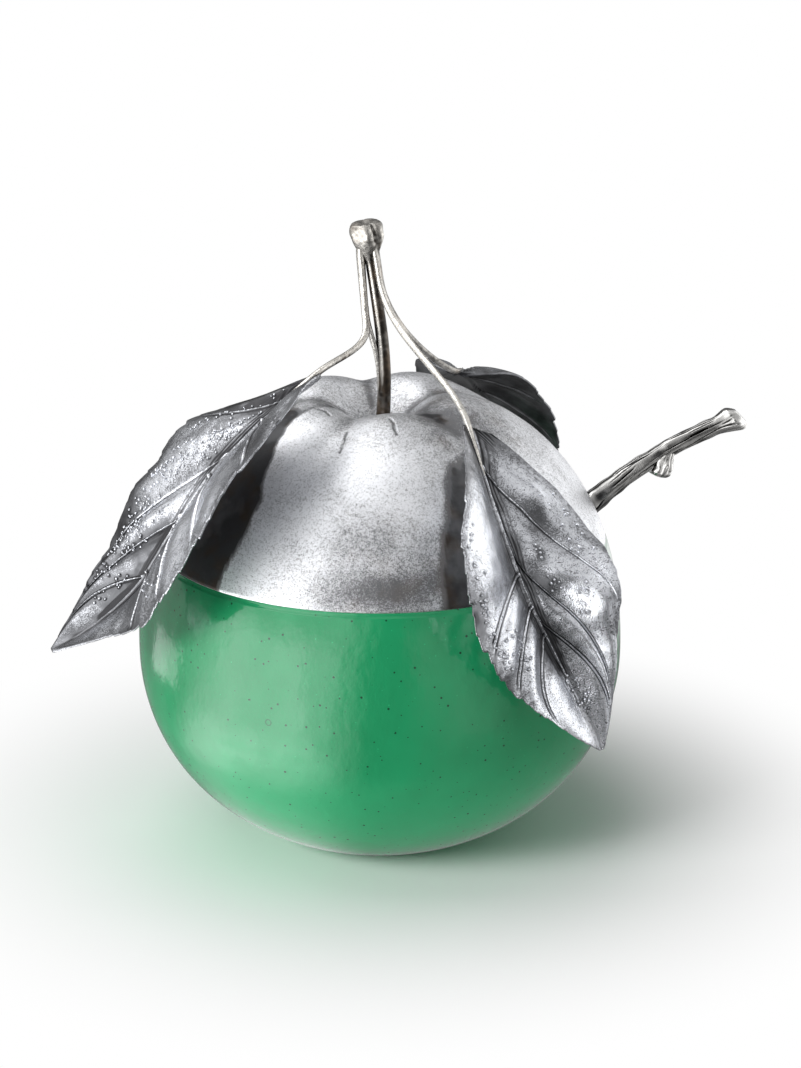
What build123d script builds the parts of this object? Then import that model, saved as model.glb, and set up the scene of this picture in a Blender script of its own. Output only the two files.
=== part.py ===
from build123d import *
import os
from dataclasses import dataclass
from math import asin, comb, cos, exp, hypot, pi, radians, sin, sqrt

# Fruit-shaped jam pot: a glass bowl, a silver lid with stalk and leaves, and a spoon with a twig handle.
# Millimetres and degrees. Z is up from the centre of the flat base. The spoon lies in the X-Z plane
# and its handle leaves the pot towards +X.

# Fruit form that the glass and the lid share
BODY_RADIUS = 50.0          # at the widest circle
EQUATOR_HEIGHT = 40.0       # widest circle above the table
BASE_RADIUS = 21.0          # flat that the pot stands on
BELLY_POWER = 2.1           # roundness of the underside
SHOULDER_RISE = 54.2        # top of the fruit above the widest circle, before the dimple
SHOULDER_POWER = 2.2        # roundness of the shoulder
RIM_RISE = 22.8             # glass rim above the widest circle

# Glass bowl
GLASS_WALL = 3.2
GLASS_FLOOR = 5.0
RIM_ROUNDING = 0.7
FOOT_ROUNDING = 1.5

# Lid dome, raised from silver sheet
LID_WALL = 1.0
DIMPLE_DEPTH = 9.6
DIMPLE_SPREAD = 9.0         # radius over which the dimple sinks in
DIMPLE_SEAT = 4.0           # radius of the flat that carries the stalk
LOBE_COUNT = 5
LOBE_HEIGHT = 1.4           # crest above the mean height of the crown
LOBE_CIRCLE = 20.0          # radius at which the lobes stand highest
LOBE_TURN = -88.0           # direction of the first lobe
LOBE_VALLEY = 0.02          # rounding of the valleys between the lobes

# Locating ring inside the lid
SKIRT_DEPTH = 5.0           # below the glass rim
SKIRT_WALL = 1.0
SKIRT_CLEARANCE = 0.4       # to the glass mouth
FLANGE_THICKNESS = 1.0

# Notch in the lid for the spoon
NOTCH_SIDE = 0.9            # clearance beside the handle
NOTCH_TOP = 0.6             # clearance over the handle
NOTCH_REACH = 6.0           # inwards past the locating ring
NOTCH_SPARE = 1.0           # below the locating ring

# Stalk with its fastening under the lid
STALK_HEIGHT = 41.8         # from the dimple to the cut end
STALK_OFFSET = 0.7          # foot of the stalk from the axis
STALK_LEAN = 3.4            # sideways drift of the top
STALK_BOW = 0.9             # bulge of the middle to the other side
STALK_RADIUS = 1.45         # at the foot
STALK_WAIST = 1.15          # radius below the head
HEAD_RADIUS = 3.4           # flared cut end
HEAD_LENGTH = 7.0
HEAD_DISH = 0.7             # depth of the hollow in the cut end
HEAD_LIP = 0.25             # share that the head draws in again at its edge
HEAD_LIP_START = 0.9        # share of the head's length at which the edge begins
TENON_RADIUS = 0.9
TENON_SPARE = 0.8           # tenon below the nut
WASHER_RADIUS = 3.0
WASHER_THICKNESS = 0.5
NUT_RADIUS = 2.6            # across the corners
NUT_THICKNESS = 2.0

# Leaves
LEAF_THICKNESS = 0.9
LEAF_CORE = 5.0             # height over the widest circle of the point that the leaves face away from
LEAF_CREASE = 1.0           # rounding of the fold along the midrib
LEAF_PILLOW = 0.7           # swelling between side veins
TOOTH_DEPTH = 0.07          # share of the half width
VEIN_SWEEP = 0.22           # share of the length by which a side vein runs ahead on its way to the margin
VEIN_START = 0.3            # share of a vein's spacing before the first one
PETIOLE_RADIUS = 0.65
PETIOLE_TIP = 0.3           # radius where it runs out on the blade
PETIOLE_SEAT = 0.25         # depth that it is let into the blade
PETIOLE_END = 0.12          # share of the blade along which it runs out
PETIOLE_CLOSE = 0.95        # how closely it lies beside the stalk

# Spoon
HANDLE_RADIUS = 2.4         # heel of the twig at the glass rim
HANDLE_LENGTH = 34.9        # along the curve outside the pot
HANDLE_ANGLE = 40.5         # slope of the shank
HANDLE_END_ANGLE = 20.0     # slope at the cut end
HANDLE_WAIST = 1.45         # radius towards the cut end
HANDLE_TAPER = 20.0         # length over which the heel thins down
HANDLE_END_RADIUS = 2.5
HANDLE_CUT = 35.0           # how far the cut leans from square
HANDLE_FLARE = 4.0          # length over which the twig widens to its cut end
HANDLE_EXIT = 3.8           # straight twig above the glass rim
HANDLE_TUCK = 9.0           # straight twig inside the lid
BARK_RIDGES = 5
BARK_DEPTH = 0.14           # share of the radius
BARK_TWIST = 0.22           # turn of the ridges along the twig, radians per mm
BUD_PLACE = 17.0            # along the handle
BUD_REACH = 6.6             # from the middle of the twig
BUD_RADIUS = 2.0
SHANK_RADIUS = 1.5
SHANK_NECK = 1.1
SPIGOT_RADIUS = 0.8
SPIGOT_LENGTH = 6.0
SPOON_LENGTH = 30.0
SPOON_WIDTH = 21.0
SPOON_DEPTH = 7.0
SPOON_WALL = 1.0
SPOON_TILT = 24.0           # slope of the spoon's bowl
SPOON_CLEARANCE = 0.35      # to the glass

# Places worked out from the sizes above
rim_height = EQUATOR_HEIGHT + RIM_RISE
crown_height = EQUATOR_HEIGHT + SHOULDER_RISE
belly_depth = EQUATOR_HEIGHT / (1 - (BASE_RADIUS / BODY_RADIUS) ** BELLY_POWER) ** (1 / BELLY_POWER)
inner_radius = BODY_RADIUS - GLASS_WALL
inner_depth = EQUATOR_HEIGHT - GLASS_FLOOR
inner_rise = SHOULDER_RISE - GLASS_WALL


@dataclass
class Leaf:
    """One leaf: its spine as (reach past the body, direction, height over the crown) and its section."""

    name: str
    spine: list
    twist: tuple            # at the base and at the tip
    half_width: tuple       # right and left of the midrib, seen from above with the tip away
    fold: tuple             # upward slope of each half
    curl: float             # downward bend towards the margins
    powers: tuple           # fullness of the outline at the base and at the tip
    teeth: int
    veins: int
    attach: float           # start of the petiole below the stalk's top
    fork: float             # where it leaves the stalk, below the stalk's top
    side: float             # direction in which it lies beside the stalk
    drop: float             # how far it keeps to the stalk's direction
    arrive: float           # how far ahead it takes the leaf's direction
    thick: float            # radius beside the stalk
    part: float             # how far it parts from the stalk by the fork


LEAVES = [
    Leaf("left_leaf", [(-29.9, 226.7, 7.4), (-2.0, 218.0, -5.0), (6.2, 209.2, -19.0),
                       (-6.7, 196.9, -36.2), (22.0, 196.2, -45.8)],
         (-19.9, 4.0), (18.7, 16.7), (0.53, 0.42), 0.0115, (0.62, 0.79), 7, 6,
         5.5, 21.0, 195.0, 5.0, 6.0, 0.9, 1.1),
    Leaf("front_leaf", [(-17.0, -68.2, 1.4), (0.5, -67.8, -21.2), (9.1, -69.9, -29.3),
                        (5.3, -64.8, -31.7), (15.2, -56.3, -59.5)],
         (26.5, -19.8), (16.6, 17.9), (0.60, 0.61), 0.0093, (0.65, 0.84), 9, 6,
         5.5, 11.0, -55.0, 13.0, 10.0, 0.75, 0.0),
    Leaf("back_leaf", [(-23.5, 43.3, -3.5), (-10.9, 54.0, -4.8), (3.3, 52.5, -17.8),
                       (11.3, 50.1, -33.9), (13.5, 50.7, -48.3)],
         (15.3, 9.9), (15.1, 12.9), (0.45, 0.12), 0.012, (0.64, 0.82), 6, 5,
         5.5, 12.0, 40.0, 12.0, 6.0, 0.75, 0.0),
]


def superellipse(share, power):
    """Radius of a unit superellipse at a share of its height."""
    return (1 - abs(share) ** power) ** (1 / power)


def mix(first, last, share):
    return first + (last - first) * share


def bezier(points, t):
    """Point at a share t of the Bezier curve with these control points."""
    last = len(points) - 1
    weights = [comb(last, k) * (1 - t) ** (last - k) * t**k for k in range(last + 1)]
    return sum((p * w for p, w in zip(points, weights)), Vector(0, 0, 0))


def polar(reach, direction, height):
    return Vector(reach * cos(radians(direction)), reach * sin(radians(direction)), height)


def shoulder_radius(height, inset=0.0):
    share = (height - EQUATOR_HEIGHT) / (SHOULDER_RISE - inset)
    return (BODY_RADIUS - inset) * superellipse(share, SHOULDER_POWER)


rim_radius = shoulder_radius(rim_height)
mouth_radius = shoulder_radius(rim_height, GLASS_WALL)


def rod(curve, radius, count):
    """Round bar along curve(t), t from 0 to 1, with radius(t), through evenly spaced sections."""
    fine = 400
    path = [curve(k / fine) for k in range(fine + 1)]
    lengths = [0.0]
    for a, b in zip(path, path[1:]):
        lengths.append(lengths[-1] + (b - a).length)
    across = Vector(0, 1, 0)
    rings = []
    for k in range(count):
        place = lengths[-1] * k / (count - 1)
        i = max(n for n in range(fine) if lengths[n] <= place)
        t = (i + (place - lengths[i]) / (lengths[i + 1] - lengths[i])) / fine
        ahead = path[min(i + 2, fine)] - path[max(i - 1, 0)]
        across = (across - ahead * (across.dot(ahead) / ahead.length**2)).normalized()
        rings.append(Wire.make_circle(radius(t), Plane(curve(t), x_dir=across, z_dir=ahead)))
    return Solid.make_loft(rings)


def fruit_outline(radius, depth, rise, lowest, steps=7):
    """Half section of the fruit from its lowest height up to the rim, in the X-Z plane."""
    low = asin(min(1, ((EQUATOR_HEIGHT - lowest) / depth) ** (BELLY_POWER / 2)))
    high = asin((RIM_RISE / rise) ** (SHOULDER_POWER / 2))
    points = []
    for k in range(steps):
        a = low * (1 - k / steps)
        height = EQUATOR_HEIGHT - depth * sin(a) ** (2 / BELLY_POWER)
        points.append(Vector(radius * max(cos(a), 0) ** (2 / BELLY_POWER), 0, height))
    for k in range(steps):
        a = high * k / (steps - 1)
        height = EQUATOR_HEIGHT + rise * sin(a) ** (2 / SHOULDER_POWER)
        points.append(Vector(radius * cos(a) ** (2 / SHOULDER_POWER), 0, height))
    return points


def glass_bowl():
    """Blown bowl: the fruit's lower part with a flat foot, a thick floor and a ground rim."""
    outer = fruit_outline(BODY_RADIUS, belly_depth, SHOULDER_RISE, 0)
    inner = fruit_outline(inner_radius, inner_depth, inner_rise, GLASS_FLOOR)
    inner[0] = Vector(0, 0, GLASS_FLOOR)
    axis_point = Vector(0, 0, 0)
    edges = [
        Edge.make_line(axis_point, outer[0]),
        Edge.make_spline(outer),
        Edge.make_line(outer[-1], inner[-1]),
        Edge.make_spline(inner[::-1]),
        Edge.make_line(inner[0], axis_point),
    ]
    bowl = Solid.revolve(Face(Wire(edges)), 360, Axis.Z)
    rim = bowl.edges().filter_by_position(Axis.Z, rim_height - 0.01, rim_height + 0.01)
    bowl = bowl.fillet(RIM_ROUNDING, rim.filter_by(GeomType.CIRCLE))
    foot = bowl.edges().filter_by_position(Axis.Z, -0.01, 0.01)
    return bowl.fillet(FOOT_ROUNDING, foot.filter_by(GeomType.CIRCLE))


def crown_mean(reach):
    """Mean height of the lid at a distance from the axis: the shoulder less the dimple."""
    shoulder = EQUATOR_HEIGHT + SHOULDER_RISE * superellipse(reach / BODY_RADIUS, SHOULDER_POWER)
    return shoulder - DIMPLE_DEPTH * exp(-((reach / DIMPLE_SPREAD) ** 2))


def crown_lobe(reach, direction):
    """Rise of the five lobes over the mean height, none at the rim or at the stalk's seat."""
    share = (reach / LOBE_CIRCLE) ** 2
    window = share * exp(1 - share) * (1 - (reach / rim_radius) ** 4) * (1 - (DIMPLE_SEAT / reach) ** 2)
    wave = sqrt(cos(radians(LOBE_COUNT * (direction - LOBE_TURN) / 2)) ** 2 + LOBE_VALLEY)
    return LOBE_HEIGHT * window * (2 * wave - 1)


def crown_loop(reach, inset):
    """Closed curve round the lid at one distance from the axis, set in by a wall."""
    step = 0.05
    slope = (crown_mean(reach) - crown_mean(reach - step)) / step
    length = hypot(slope, 1)
    count = 8 * LOBE_COUNT
    points = []
    for k in range(count):
        direction = LOBE_TURN + 360 * k / count
        height = crown_mean(reach) + crown_lobe(reach, direction) - inset / length
        points.append(polar(reach + inset * slope / length, direction, height))
    return Wire([Edge.make_spline(points, periodic=True)])


def crown_solid(inset):
    """Filled form of the lid, from the rim to the stalk's seat."""
    count = 11
    reaches = [mix(rim_radius, DIMPLE_SEAT, sin(0.5 * pi * k / (count - 1)) ** 1.15) for k in range(count)]
    return Solid.make_loft([crown_loop(reach, inset) for reach in reaches])


seat_height = crown_mean(DIMPLE_SEAT)
seat_slope = (crown_mean(DIMPLE_SEAT) - crown_mean(DIMPLE_SEAT - 0.05)) / 0.05
seat_underside = seat_height - LID_WALL / hypot(seat_slope, 1)
stalk_foot = Vector(STALK_OFFSET, 0, seat_height)


def twig_radius(s):
    """Radius of the twig at a distance s from where its curve starts, thick at the heel."""
    return mix(HANDLE_WAIST, HANDLE_RADIUS, exp(-(s + HANDLE_TUCK) / HANDLE_TAPER))


# The spoon's shank rests over the inner edge of the glass rim
slope = radians(HANDLE_ANGLE)
along = Vector(cos(slope), 0, sin(slope))
square = Vector(-sin(slope), 0, cos(slope))
rim_edge = Vector(mouth_radius, 0, rim_height)
handle_start = rim_edge + square * (twig_radius(-HANDLE_EXIT) + SPOON_CLEARANCE) + along * HANDLE_EXIT
shank_start = handle_start - along * HANDLE_TUCK
bend_radius = HANDLE_LENGTH / radians(HANDLE_ANGLE - HANDLE_END_ANGLE)


def notch():
    """Arched opening for the handle through the lid and its ring, open at the bottom."""
    half = twig_radius(-HANDLE_TUCK) + NOTCH_SIDE
    over_handle = (twig_radius(0) + NOTCH_TOP) / cos(slope)
    wall_reach = rim_radius - LID_WALL
    for _ in range(20):
        top = handle_start.Z + (wall_reach - handle_start.X) * sin(slope) / cos(slope) + over_handle
        wall_reach = shoulder_radius(top)
    bottom = rim_height - SKIRT_DEPTH - NOTCH_SPARE
    outline = Wire([
        Edge.make_line((0, -half, top - half), (0, -half, bottom)),
        Edge.make_line((0, -half, bottom), (0, half, bottom)),
        Edge.make_line((0, half, bottom), (0, half, top - half)),
        Edge.make_three_point_arc((0, half, top - half), (0, 0, top), (0, -half, top - half)),
    ])
    start = mouth_radius - SKIRT_CLEARANCE - 2 * SKIRT_WALL - NOTCH_REACH
    return Solid.extrude(Face(outline).translate((start, 0, 0)), Vector(BODY_RADIUS - start, 0, 0))


def lid_dome():
    """Thin silver dome with five lobes, a dimple, a hole for the stalk and a notch for the spoon."""
    hole = Solid.make_cylinder(TENON_RADIUS, 4 * LID_WALL, Plane(stalk_foot - Vector(0, 0, 2 * LID_WALL)))
    return crown_solid(0) - crown_solid(LID_WALL) - notch() - hole


def lid_locating_ring():
    """L-shaped ring soldered inside the lid: it sits on the glass rim and its skirt centres the lid."""
    outside = mouth_radius - SKIRT_CLEARANCE
    inside = outside - SKIRT_WALL
    section = Wire.make_polygon([
        (inside, 0, rim_height - SKIRT_DEPTH),
        (outside, 0, rim_height - SKIRT_DEPTH),
        (outside, 0, rim_height),
        (BODY_RADIUS, 0, rim_height),
        (BODY_RADIUS, 0, rim_height + FLANGE_THICKNESS),
        (inside, 0, rim_height + FLANGE_THICKNESS),
    ])
    ring = Solid.revolve(Face(section), 360, Axis.Z)
    skirt = Solid.make_cylinder(outside, SKIRT_DEPTH, Plane((0, 0, rim_height - SKIRT_DEPTH)))
    return ring & (crown_solid(LID_WALL) + skirt) - notch()


def stalk_point(share):
    """Middle of the stalk at a share of its height: upright at the foot, leaning at the top."""
    drift = STALK_BOW * sin(pi * share**0.7) ** 2 - STALK_LEAN * share**1.5
    return stalk_foot + Vector(drift, 0, STALK_HEIGHT * share)


def stalk_radius(share):
    """Slow taper up to the head, then a flare like a cut twig."""
    head = max(0, 1 - (1 - share) * STALK_HEIGHT / HEAD_LENGTH)
    lip = HEAD_LIP * max(0, head - HEAD_LIP_START) / (1 - HEAD_LIP_START)
    flare = head**2 * (3 - 2 * head) * (1 - lip)
    return mix(mix(STALK_RADIUS, STALK_WAIST, min(1, 1.4 * share)), HEAD_RADIUS, flare)


def fruit_stalk():
    """Stalk with a dished cut end and a tenon that goes through the lid."""
    bar = rod(stalk_point, stalk_radius, 21)
    dish_radius = (HEAD_RADIUS**2 + HEAD_DISH**2) / (2 * HEAD_DISH)
    dish = Solid.make_sphere(dish_radius, Plane(stalk_point(1) + Vector(0, 0, dish_radius - HEAD_DISH)))
    length = seat_height - seat_underside + WASHER_THICKNESS + NUT_THICKNESS + TENON_SPARE
    tenon = Solid.make_cylinder(TENON_RADIUS, length, Plane(stalk_foot - Vector(0, 0, length)))
    return bar - dish + tenon


def under_seat(depth):
    return Plane(Vector(stalk_foot.X, stalk_foot.Y, seat_underside - depth))


def stalk_washer():
    plane = under_seat(WASHER_THICKNESS)
    bore = Solid.make_cylinder(TENON_RADIUS, WASHER_THICKNESS, plane)
    return Solid.make_cylinder(WASHER_RADIUS, WASHER_THICKNESS, plane) - bore


def stalk_nut():
    plane = under_seat(WASHER_THICKNESS + NUT_THICKNESS)
    corners = [plane.origin + polar(NUT_RADIUS, 60 * k, 0) for k in range(6)]
    block = Solid.extrude(Face(Wire.make_polygon(corners)), Vector(0, 0, NUT_THICKNESS))
    return block - Solid.make_cylinder(TENON_RADIUS, NUT_THICKNESS, plane)


def spine_point(leaf, u):
    """Bezier curve through the leaf's spine, from its base to its tip."""
    places = [polar(BODY_RADIUS + reach, way, crown_height + height) for reach, way, height in leaf.spine]
    return bezier(places, u)


def leaf_frame(leaf, u):
    """Spine point, its direction, and the directions across and out of the blade, turned by the twist."""
    step = 1e-4
    middle = spine_point(leaf, u)
    ahead = (spine_point(leaf, min(u + step, 1)) - spine_point(leaf, max(u - step, 0))).normalized()
    core = Vector(0, 0, EQUATOR_HEIGHT + LEAF_CORE)
    across = ahead.cross(middle - core).normalized()
    out = across.cross(ahead)
    turn = radians(mix(*leaf.twist, u))
    return middle, ahead, across * cos(turn) + out * sin(turn), out * cos(turn) - across * sin(turn)


def outline_share(leaf, u, v):
    """Half width of the blade as a share of the widest, with teeth along the margin that point to the tip."""
    base, tip = leaf.powers
    widest = base / (base + tip)
    plain = (u / widest) ** base * ((1 - u) / (1 - widest)) ** tip
    tooth = ((u * leaf.teeth) % 1 - 0.5) * min(1, 6 * u)
    return plain * (1 + TOOTH_DEPTH * tooth * v**6)


def blade_point(leaf, u, v, offset):
    """Point of the blade: v runs from -1 to 1 across it, offset is along its outward direction."""
    middle, _, across, out = leaf_frame(leaf, u)
    half = 1 if v >= 0 else 0
    lateral = v * leaf.half_width[half] * outline_share(leaf, u, v)
    crease = LEAF_CREASE
    lift = leaf.fold[half] * (sqrt(lateral**2 + crease**2) - crease) - leaf.curl * lateral**2
    between = sin(pi * (leaf.veins * (u - VEIN_SWEEP * abs(v)) + VEIN_START)) ** 2
    pillow = LEAF_PILLOW * between * 4 * abs(v) * (1 - abs(v)) * min(1, 5 * (1 - u))
    return middle + across * lateral + out * (lift + pillow + offset)


def leaf_blade(leaf, petiole):
    """Chased leaf: an upper and a lower skin on the same grid, closed by ruled edges, cut for its petiole."""
    rows, columns = 61, 13
    first, last = 0.004, 0.996
    skins = []
    for offset in (LEAF_THICKNESS / 2, -LEAF_THICKNESS / 2):
        grid = []
        for i in range(rows):
            u = mix(first, last, 0.5 - 0.5 * cos(pi * i / (rows - 1)))
            grid.append([blade_point(leaf, u, 2 * j / (columns - 1) - 1, offset) for j in range(columns)])
        skins.append(Face.make_surface_from_array_of_points(grid, tol=0.02))
    upper, lower = skins
    sides = [Face.make_surface_from_curves(a, b) for a, b in zip(upper.edges(), lower.edges())]
    blade = Solid(Shell([upper, lower, *sides]))
    return blade - petiole


def leaf_petiole(leaf, stalk, others):
    """Stem of a leaf: beside the stalk, across to the leaf, and out along the midrib to nothing."""
    seat = LEAF_THICKNESS / 2 + PETIOLE_RADIUS - PETIOLE_SEAT
    base, ahead, _, out = leaf_frame(leaf, 0)
    end = base + out * seat
    beside = PETIOLE_CLOSE * (STALK_WAIST + leaf.thick)
    top = stalk_point(1 - leaf.attach / STALK_HEIGHT) + polar(beside, leaf.side, 0)
    fork = stalk_point(1 - leaf.fork / STALK_HEIGHT) + polar(beside + leaf.part, leaf.side, 0)
    down = (fork - top).normalized()
    controls = [fork, fork + down * leaf.drop, end - ahead * leaf.arrive, end]
    leaves_stalk, half_way, meets_blade = 0.2, 0.5, 0.8

    def curve(t):
        if t < leaves_stalk:
            return top + (fork - top) * (t / leaves_stalk)
        if t < meets_blade:
            return bezier(controls, (t - leaves_stalk) / (meets_blade - leaves_stalk))
        u = PETIOLE_END * (t - meets_blade) / (1 - meets_blade)
        middle, _, _, out_here = leaf_frame(leaf, u)
        return middle + out_here * (LEAF_THICKNESS / 2 + radius(t) - PETIOLE_SEAT)

    def radius(t):
        if t < half_way:
            return mix(leaf.thick, PETIOLE_RADIUS, t / half_way)
        return mix(PETIOLE_RADIUS, PETIOLE_TIP, max(0, (t - meets_blade) / (1 - meets_blade)))

    stem = rod(curve, radius, 26) - stalk
    for other in others:
        stem = stem - other
    return stem


def handle_point(s):
    """Middle of the twig at a distance s from where its curve starts: straight inside, an arc outside."""
    if s <= 0:
        return handle_start + along * s
    turn = slope - s / bend_radius
    return handle_start + Vector(sin(slope) - sin(turn), 0, cos(turn) - cos(slope)) * bend_radius


def handle_ring(s, radius, lean=0.0):
    """Ridged section of the twig, square to it or leaning for the cut end."""
    angle = slope - max(0, s) / bend_radius + radians(lean)
    normal = Vector(cos(angle), 0, sin(angle))
    plane = Plane(handle_point(s), x_dir=Vector(0, 1, 0), z_dir=normal)
    count = 8 * BARK_RIDGES
    points = []
    for k in range(count):
        a = 2 * pi * k / count
        broad = cos(0.5 * (BARK_RIDGES * a + BARK_TWIST * s)) ** 2
        fine = sin(BARK_RIDGES * a - 1.6 * BARK_TWIST * s) ** 2
        r = radius * (1 - BARK_DEPTH * (broad + 0.5 * fine))
        points.append(plane.from_local_coords(Vector(r * cos(a), r * sin(a) / cos(radians(lean)), 0)))
    return Wire([Edge.make_spline(points, periodic=True)])


def spoon_twig_handle():
    """Cast twig with ridged bark, a side bud, a leaning cut end and a socket for the shank."""
    plain = 12
    rings = []
    for k in range(plain):
        s = mix(-HANDLE_TUCK, HANDLE_LENGTH - HANDLE_FLARE, k / (plain - 1))
        rings.append(handle_ring(s, twig_radius(s)))
    for share in (0.6, 1.0):
        s = HANDLE_LENGTH - HANDLE_FLARE * (1 - share)
        lean = HANDLE_CUT if share == 1 else HANDLE_CUT / 2
        rings.append(handle_ring(s, mix(HANDLE_WAIST, HANDLE_END_RADIUS, share), lean))
    twig = Solid.make_loft(rings)
    root = handle_point(BUD_PLACE)
    reach = Vector(-0.1, 0, -1) * BUD_REACH
    bud = rod(lambda t: root + reach * t, lambda t: BUD_RADIUS * sqrt(1.02 - (1.6 * t - 0.6) ** 2), 9)
    socket = Solid.make_cylinder(SPIGOT_RADIUS, SPIGOT_LENGTH, Plane(shank_start, z_dir=along))
    return twig - socket + bud


def spoon_plane(reach):
    """Plane of the spoon's rim, with its middle past a shank of this reach."""
    tilt = radians(SPOON_TILT)
    toward = Vector(cos(tilt), 0, sin(tilt))
    neck = shank_start - along * reach
    return Plane(neck - toward * (SPOON_LENGTH / 2), x_dir=toward, z_dir=Vector(-sin(tilt), 0, cos(tilt)))


def glass_room(point):
    """About how far a point inside the pot lies from the glass."""
    share = hypot(point.X, point.Y) / inner_radius
    sink = max(0, EQUATOR_HEIGHT - point.Z) / inner_depth
    return (1 - (share**BELLY_POWER + sink**BELLY_POWER) ** (1 / BELLY_POWER)) * inner_depth


def shank_reach():
    """Longest shank whose spoon still clears the glass."""
    short, long = 0.0, 4 * BODY_RADIUS
    for _ in range(40):
        middle = (short + long) / 2
        plane = spoon_plane(middle)
        room = []
        for i in range(13):
            a = pi * i / 12
            for b in (0, pi / 6, pi / 3, pi / 2):
                across = SPOON_WIDTH / 2 * sin(a) * cos(b)
                point = Vector(SPOON_LENGTH / 2 * cos(a), across, -SPOON_DEPTH * sin(a) * sin(b))
                room.append(glass_room(plane.from_local_coords(point)))
        short, long = (middle, long) if min(room) > SPOON_CLEARANCE else (short, middle)
    return short


def spoon_bowl():
    """Oval spoon on a tapered shank whose spigot fits the twig."""
    reach = shank_reach()
    plane = spoon_plane(reach)
    half = Vector(SPOON_LENGTH / 2, SPOON_WIDTH / 2, SPOON_DEPTH)
    outer = Solid.make_sphere(1).scale((half.X, half.Y, half.Z))
    hollow = Solid.make_sphere(1).scale((half.X - SPOON_WALL, half.Y - SPOON_WALL, half.Z - SPOON_WALL))
    below = Solid.make_box(4 * half.X, 4 * half.Y, 2 * half.Z, Plane((-2 * half.X, -2 * half.Y, -2 * half.Z)))
    cup = plane.location * (outer & below)
    end = plane.from_local_coords(Vector(half.X - SPOON_WALL, 0, -SHANK_NECK))
    controls = [shank_start, shank_start - along * (reach * 0.6), end + plane.x_dir * (reach * 0.25), end]
    shank = rod(lambda t: bezier(controls, t), lambda t: mix(SHANK_RADIUS, SHANK_NECK, t), 12)
    spigot = Solid.make_cylinder(SPIGOT_RADIUS, SPIGOT_LENGTH, Plane(shank_start, z_dir=along))
    return cup + shank - plane.location * hollow + spigot


def main():
    os.makedirs("parts", exist_ok=True)
    stalk = fruit_stalk()
    pieces = {
        "glass_bowl": glass_bowl(),
        "lid_dome": lid_dome(),
        "lid_locating_ring": lid_locating_ring(),
        "fruit_stalk": stalk,
        "stalk_washer": stalk_washer(),
        "stalk_nut": stalk_nut(),
        "spoon_bowl": spoon_bowl(),
        "spoon_twig_handle": spoon_twig_handle(),
    }
    petioles = []
    for leaf in LEAVES:
        petiole = leaf_petiole(leaf, stalk, petioles)
        petioles.append(petiole)
        pieces[f"{leaf.name}_petiole"] = petiole
        pieces[f"{leaf.name}_blade"] = leaf_blade(leaf, petiole)
    for name, piece in pieces.items():
        export_step(piece, f"parts/{name}.step")


main()
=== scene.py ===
import logging
from dataclasses import dataclass
from enum import Enum
from math import comb

import bmesh
import bpy
import numpy as np
from mathutils import Matrix, Vector


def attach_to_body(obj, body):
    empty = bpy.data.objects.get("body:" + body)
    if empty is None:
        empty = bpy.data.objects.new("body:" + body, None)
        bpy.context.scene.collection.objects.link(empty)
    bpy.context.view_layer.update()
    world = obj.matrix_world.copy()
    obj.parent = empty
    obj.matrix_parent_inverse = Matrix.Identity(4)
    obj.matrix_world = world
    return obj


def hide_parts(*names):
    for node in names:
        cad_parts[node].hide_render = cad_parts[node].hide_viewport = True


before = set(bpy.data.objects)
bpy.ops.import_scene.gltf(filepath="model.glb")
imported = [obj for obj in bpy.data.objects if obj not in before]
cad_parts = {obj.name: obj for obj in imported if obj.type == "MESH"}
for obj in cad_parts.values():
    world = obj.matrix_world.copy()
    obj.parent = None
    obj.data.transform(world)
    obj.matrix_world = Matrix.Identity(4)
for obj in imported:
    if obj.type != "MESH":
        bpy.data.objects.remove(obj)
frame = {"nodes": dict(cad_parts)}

# Looks of a fruit-shaped jam pot: opaque green glass, a stippled silver lid with a stalk and chased leaves,
# and a spoon with a twig handle. Shapes are worked out in millimetres, in the frame of the solids:
# Z up from the middle of the flat base, +X towards the spoon's handle.

MM = 0.001
LOG = logging.getLogger("jam_pot")
Array = np.ndarray
Material, Object = bpy.types.Material, bpy.types.Object
Node, Socket = bpy.types.Node, bpy.types.NodeSocket
ALONG_Y = np.array([0, 1.0, 0])
CAP_SHARES = np.array([0.94, 0.5, 0.0])  # rows that close the end of a bar, as shares of its radius
CAP_ROWS = len(CAP_SHARES)
MERGE = 1e-7  # metres within which doubled points are merged
MOST_SHADE = 9.0  # limit of a value that a mesh carries
FAR = 9.0  # stands for the distance to a vein or bead that isn't there
PAINTED_SHADOW_BACK = 60.0  # degrees before a painted leaf shadow's near edge that still count as before it
RIM_GAP = 0.2  # millimetres between the glass walls' last rows and the rounded rim


class Body(Enum):
    """Bodies of the frame that pieces ride on."""

    BOWL = "bowl"
    LID = "lid"
    SPOON = "spoon"


class Slot(Enum):
    """Finishes of the record."""

    GREEN_GLASS = "green_glass"
    LID_SILVER = "lid_silver"
    LEAF_SILVER = "leaf_silver"
    STEM_SILVER = "stem_silver"
    TWIG_SILVER = "twig_silver"
    PLAIN_SILVER = "plain_silver"


def mix(first: float | Array, last: float | Array, share: float | Array) -> float | Array:
    """Value at a share of the way from the first to the last."""
    return first + (last - first) * share


def smooth(value: Array, low: float, high: float) -> Array:
    """Smooth step from 0 at low to 1 at high."""
    t = np.clip((value - low) / (high - low), 0, 1)
    return t * t * (3 - 2 * t)


def bump(distance: Array, width: float) -> Array:
    """Bell curve of height 1 and this half width."""
    return np.exp(-((distance / width) ** 2))


def unit(vectors: Array) -> Array:
    """Vectors made one long."""
    return vectors / np.linalg.norm(vectors, axis=-1, keepdims=True)


def wrapped(angle: Array, middle: float | Array) -> Array:
    """Angle from this middle, from -pi to pi."""
    return np.angle(np.exp(1j * (angle - middle)))


def halves(v: Array, pair: tuple) -> Array:
    """The first of a pair where v is below 0, and the second elsewhere."""
    return np.where(v < 0, *pair)


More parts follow.
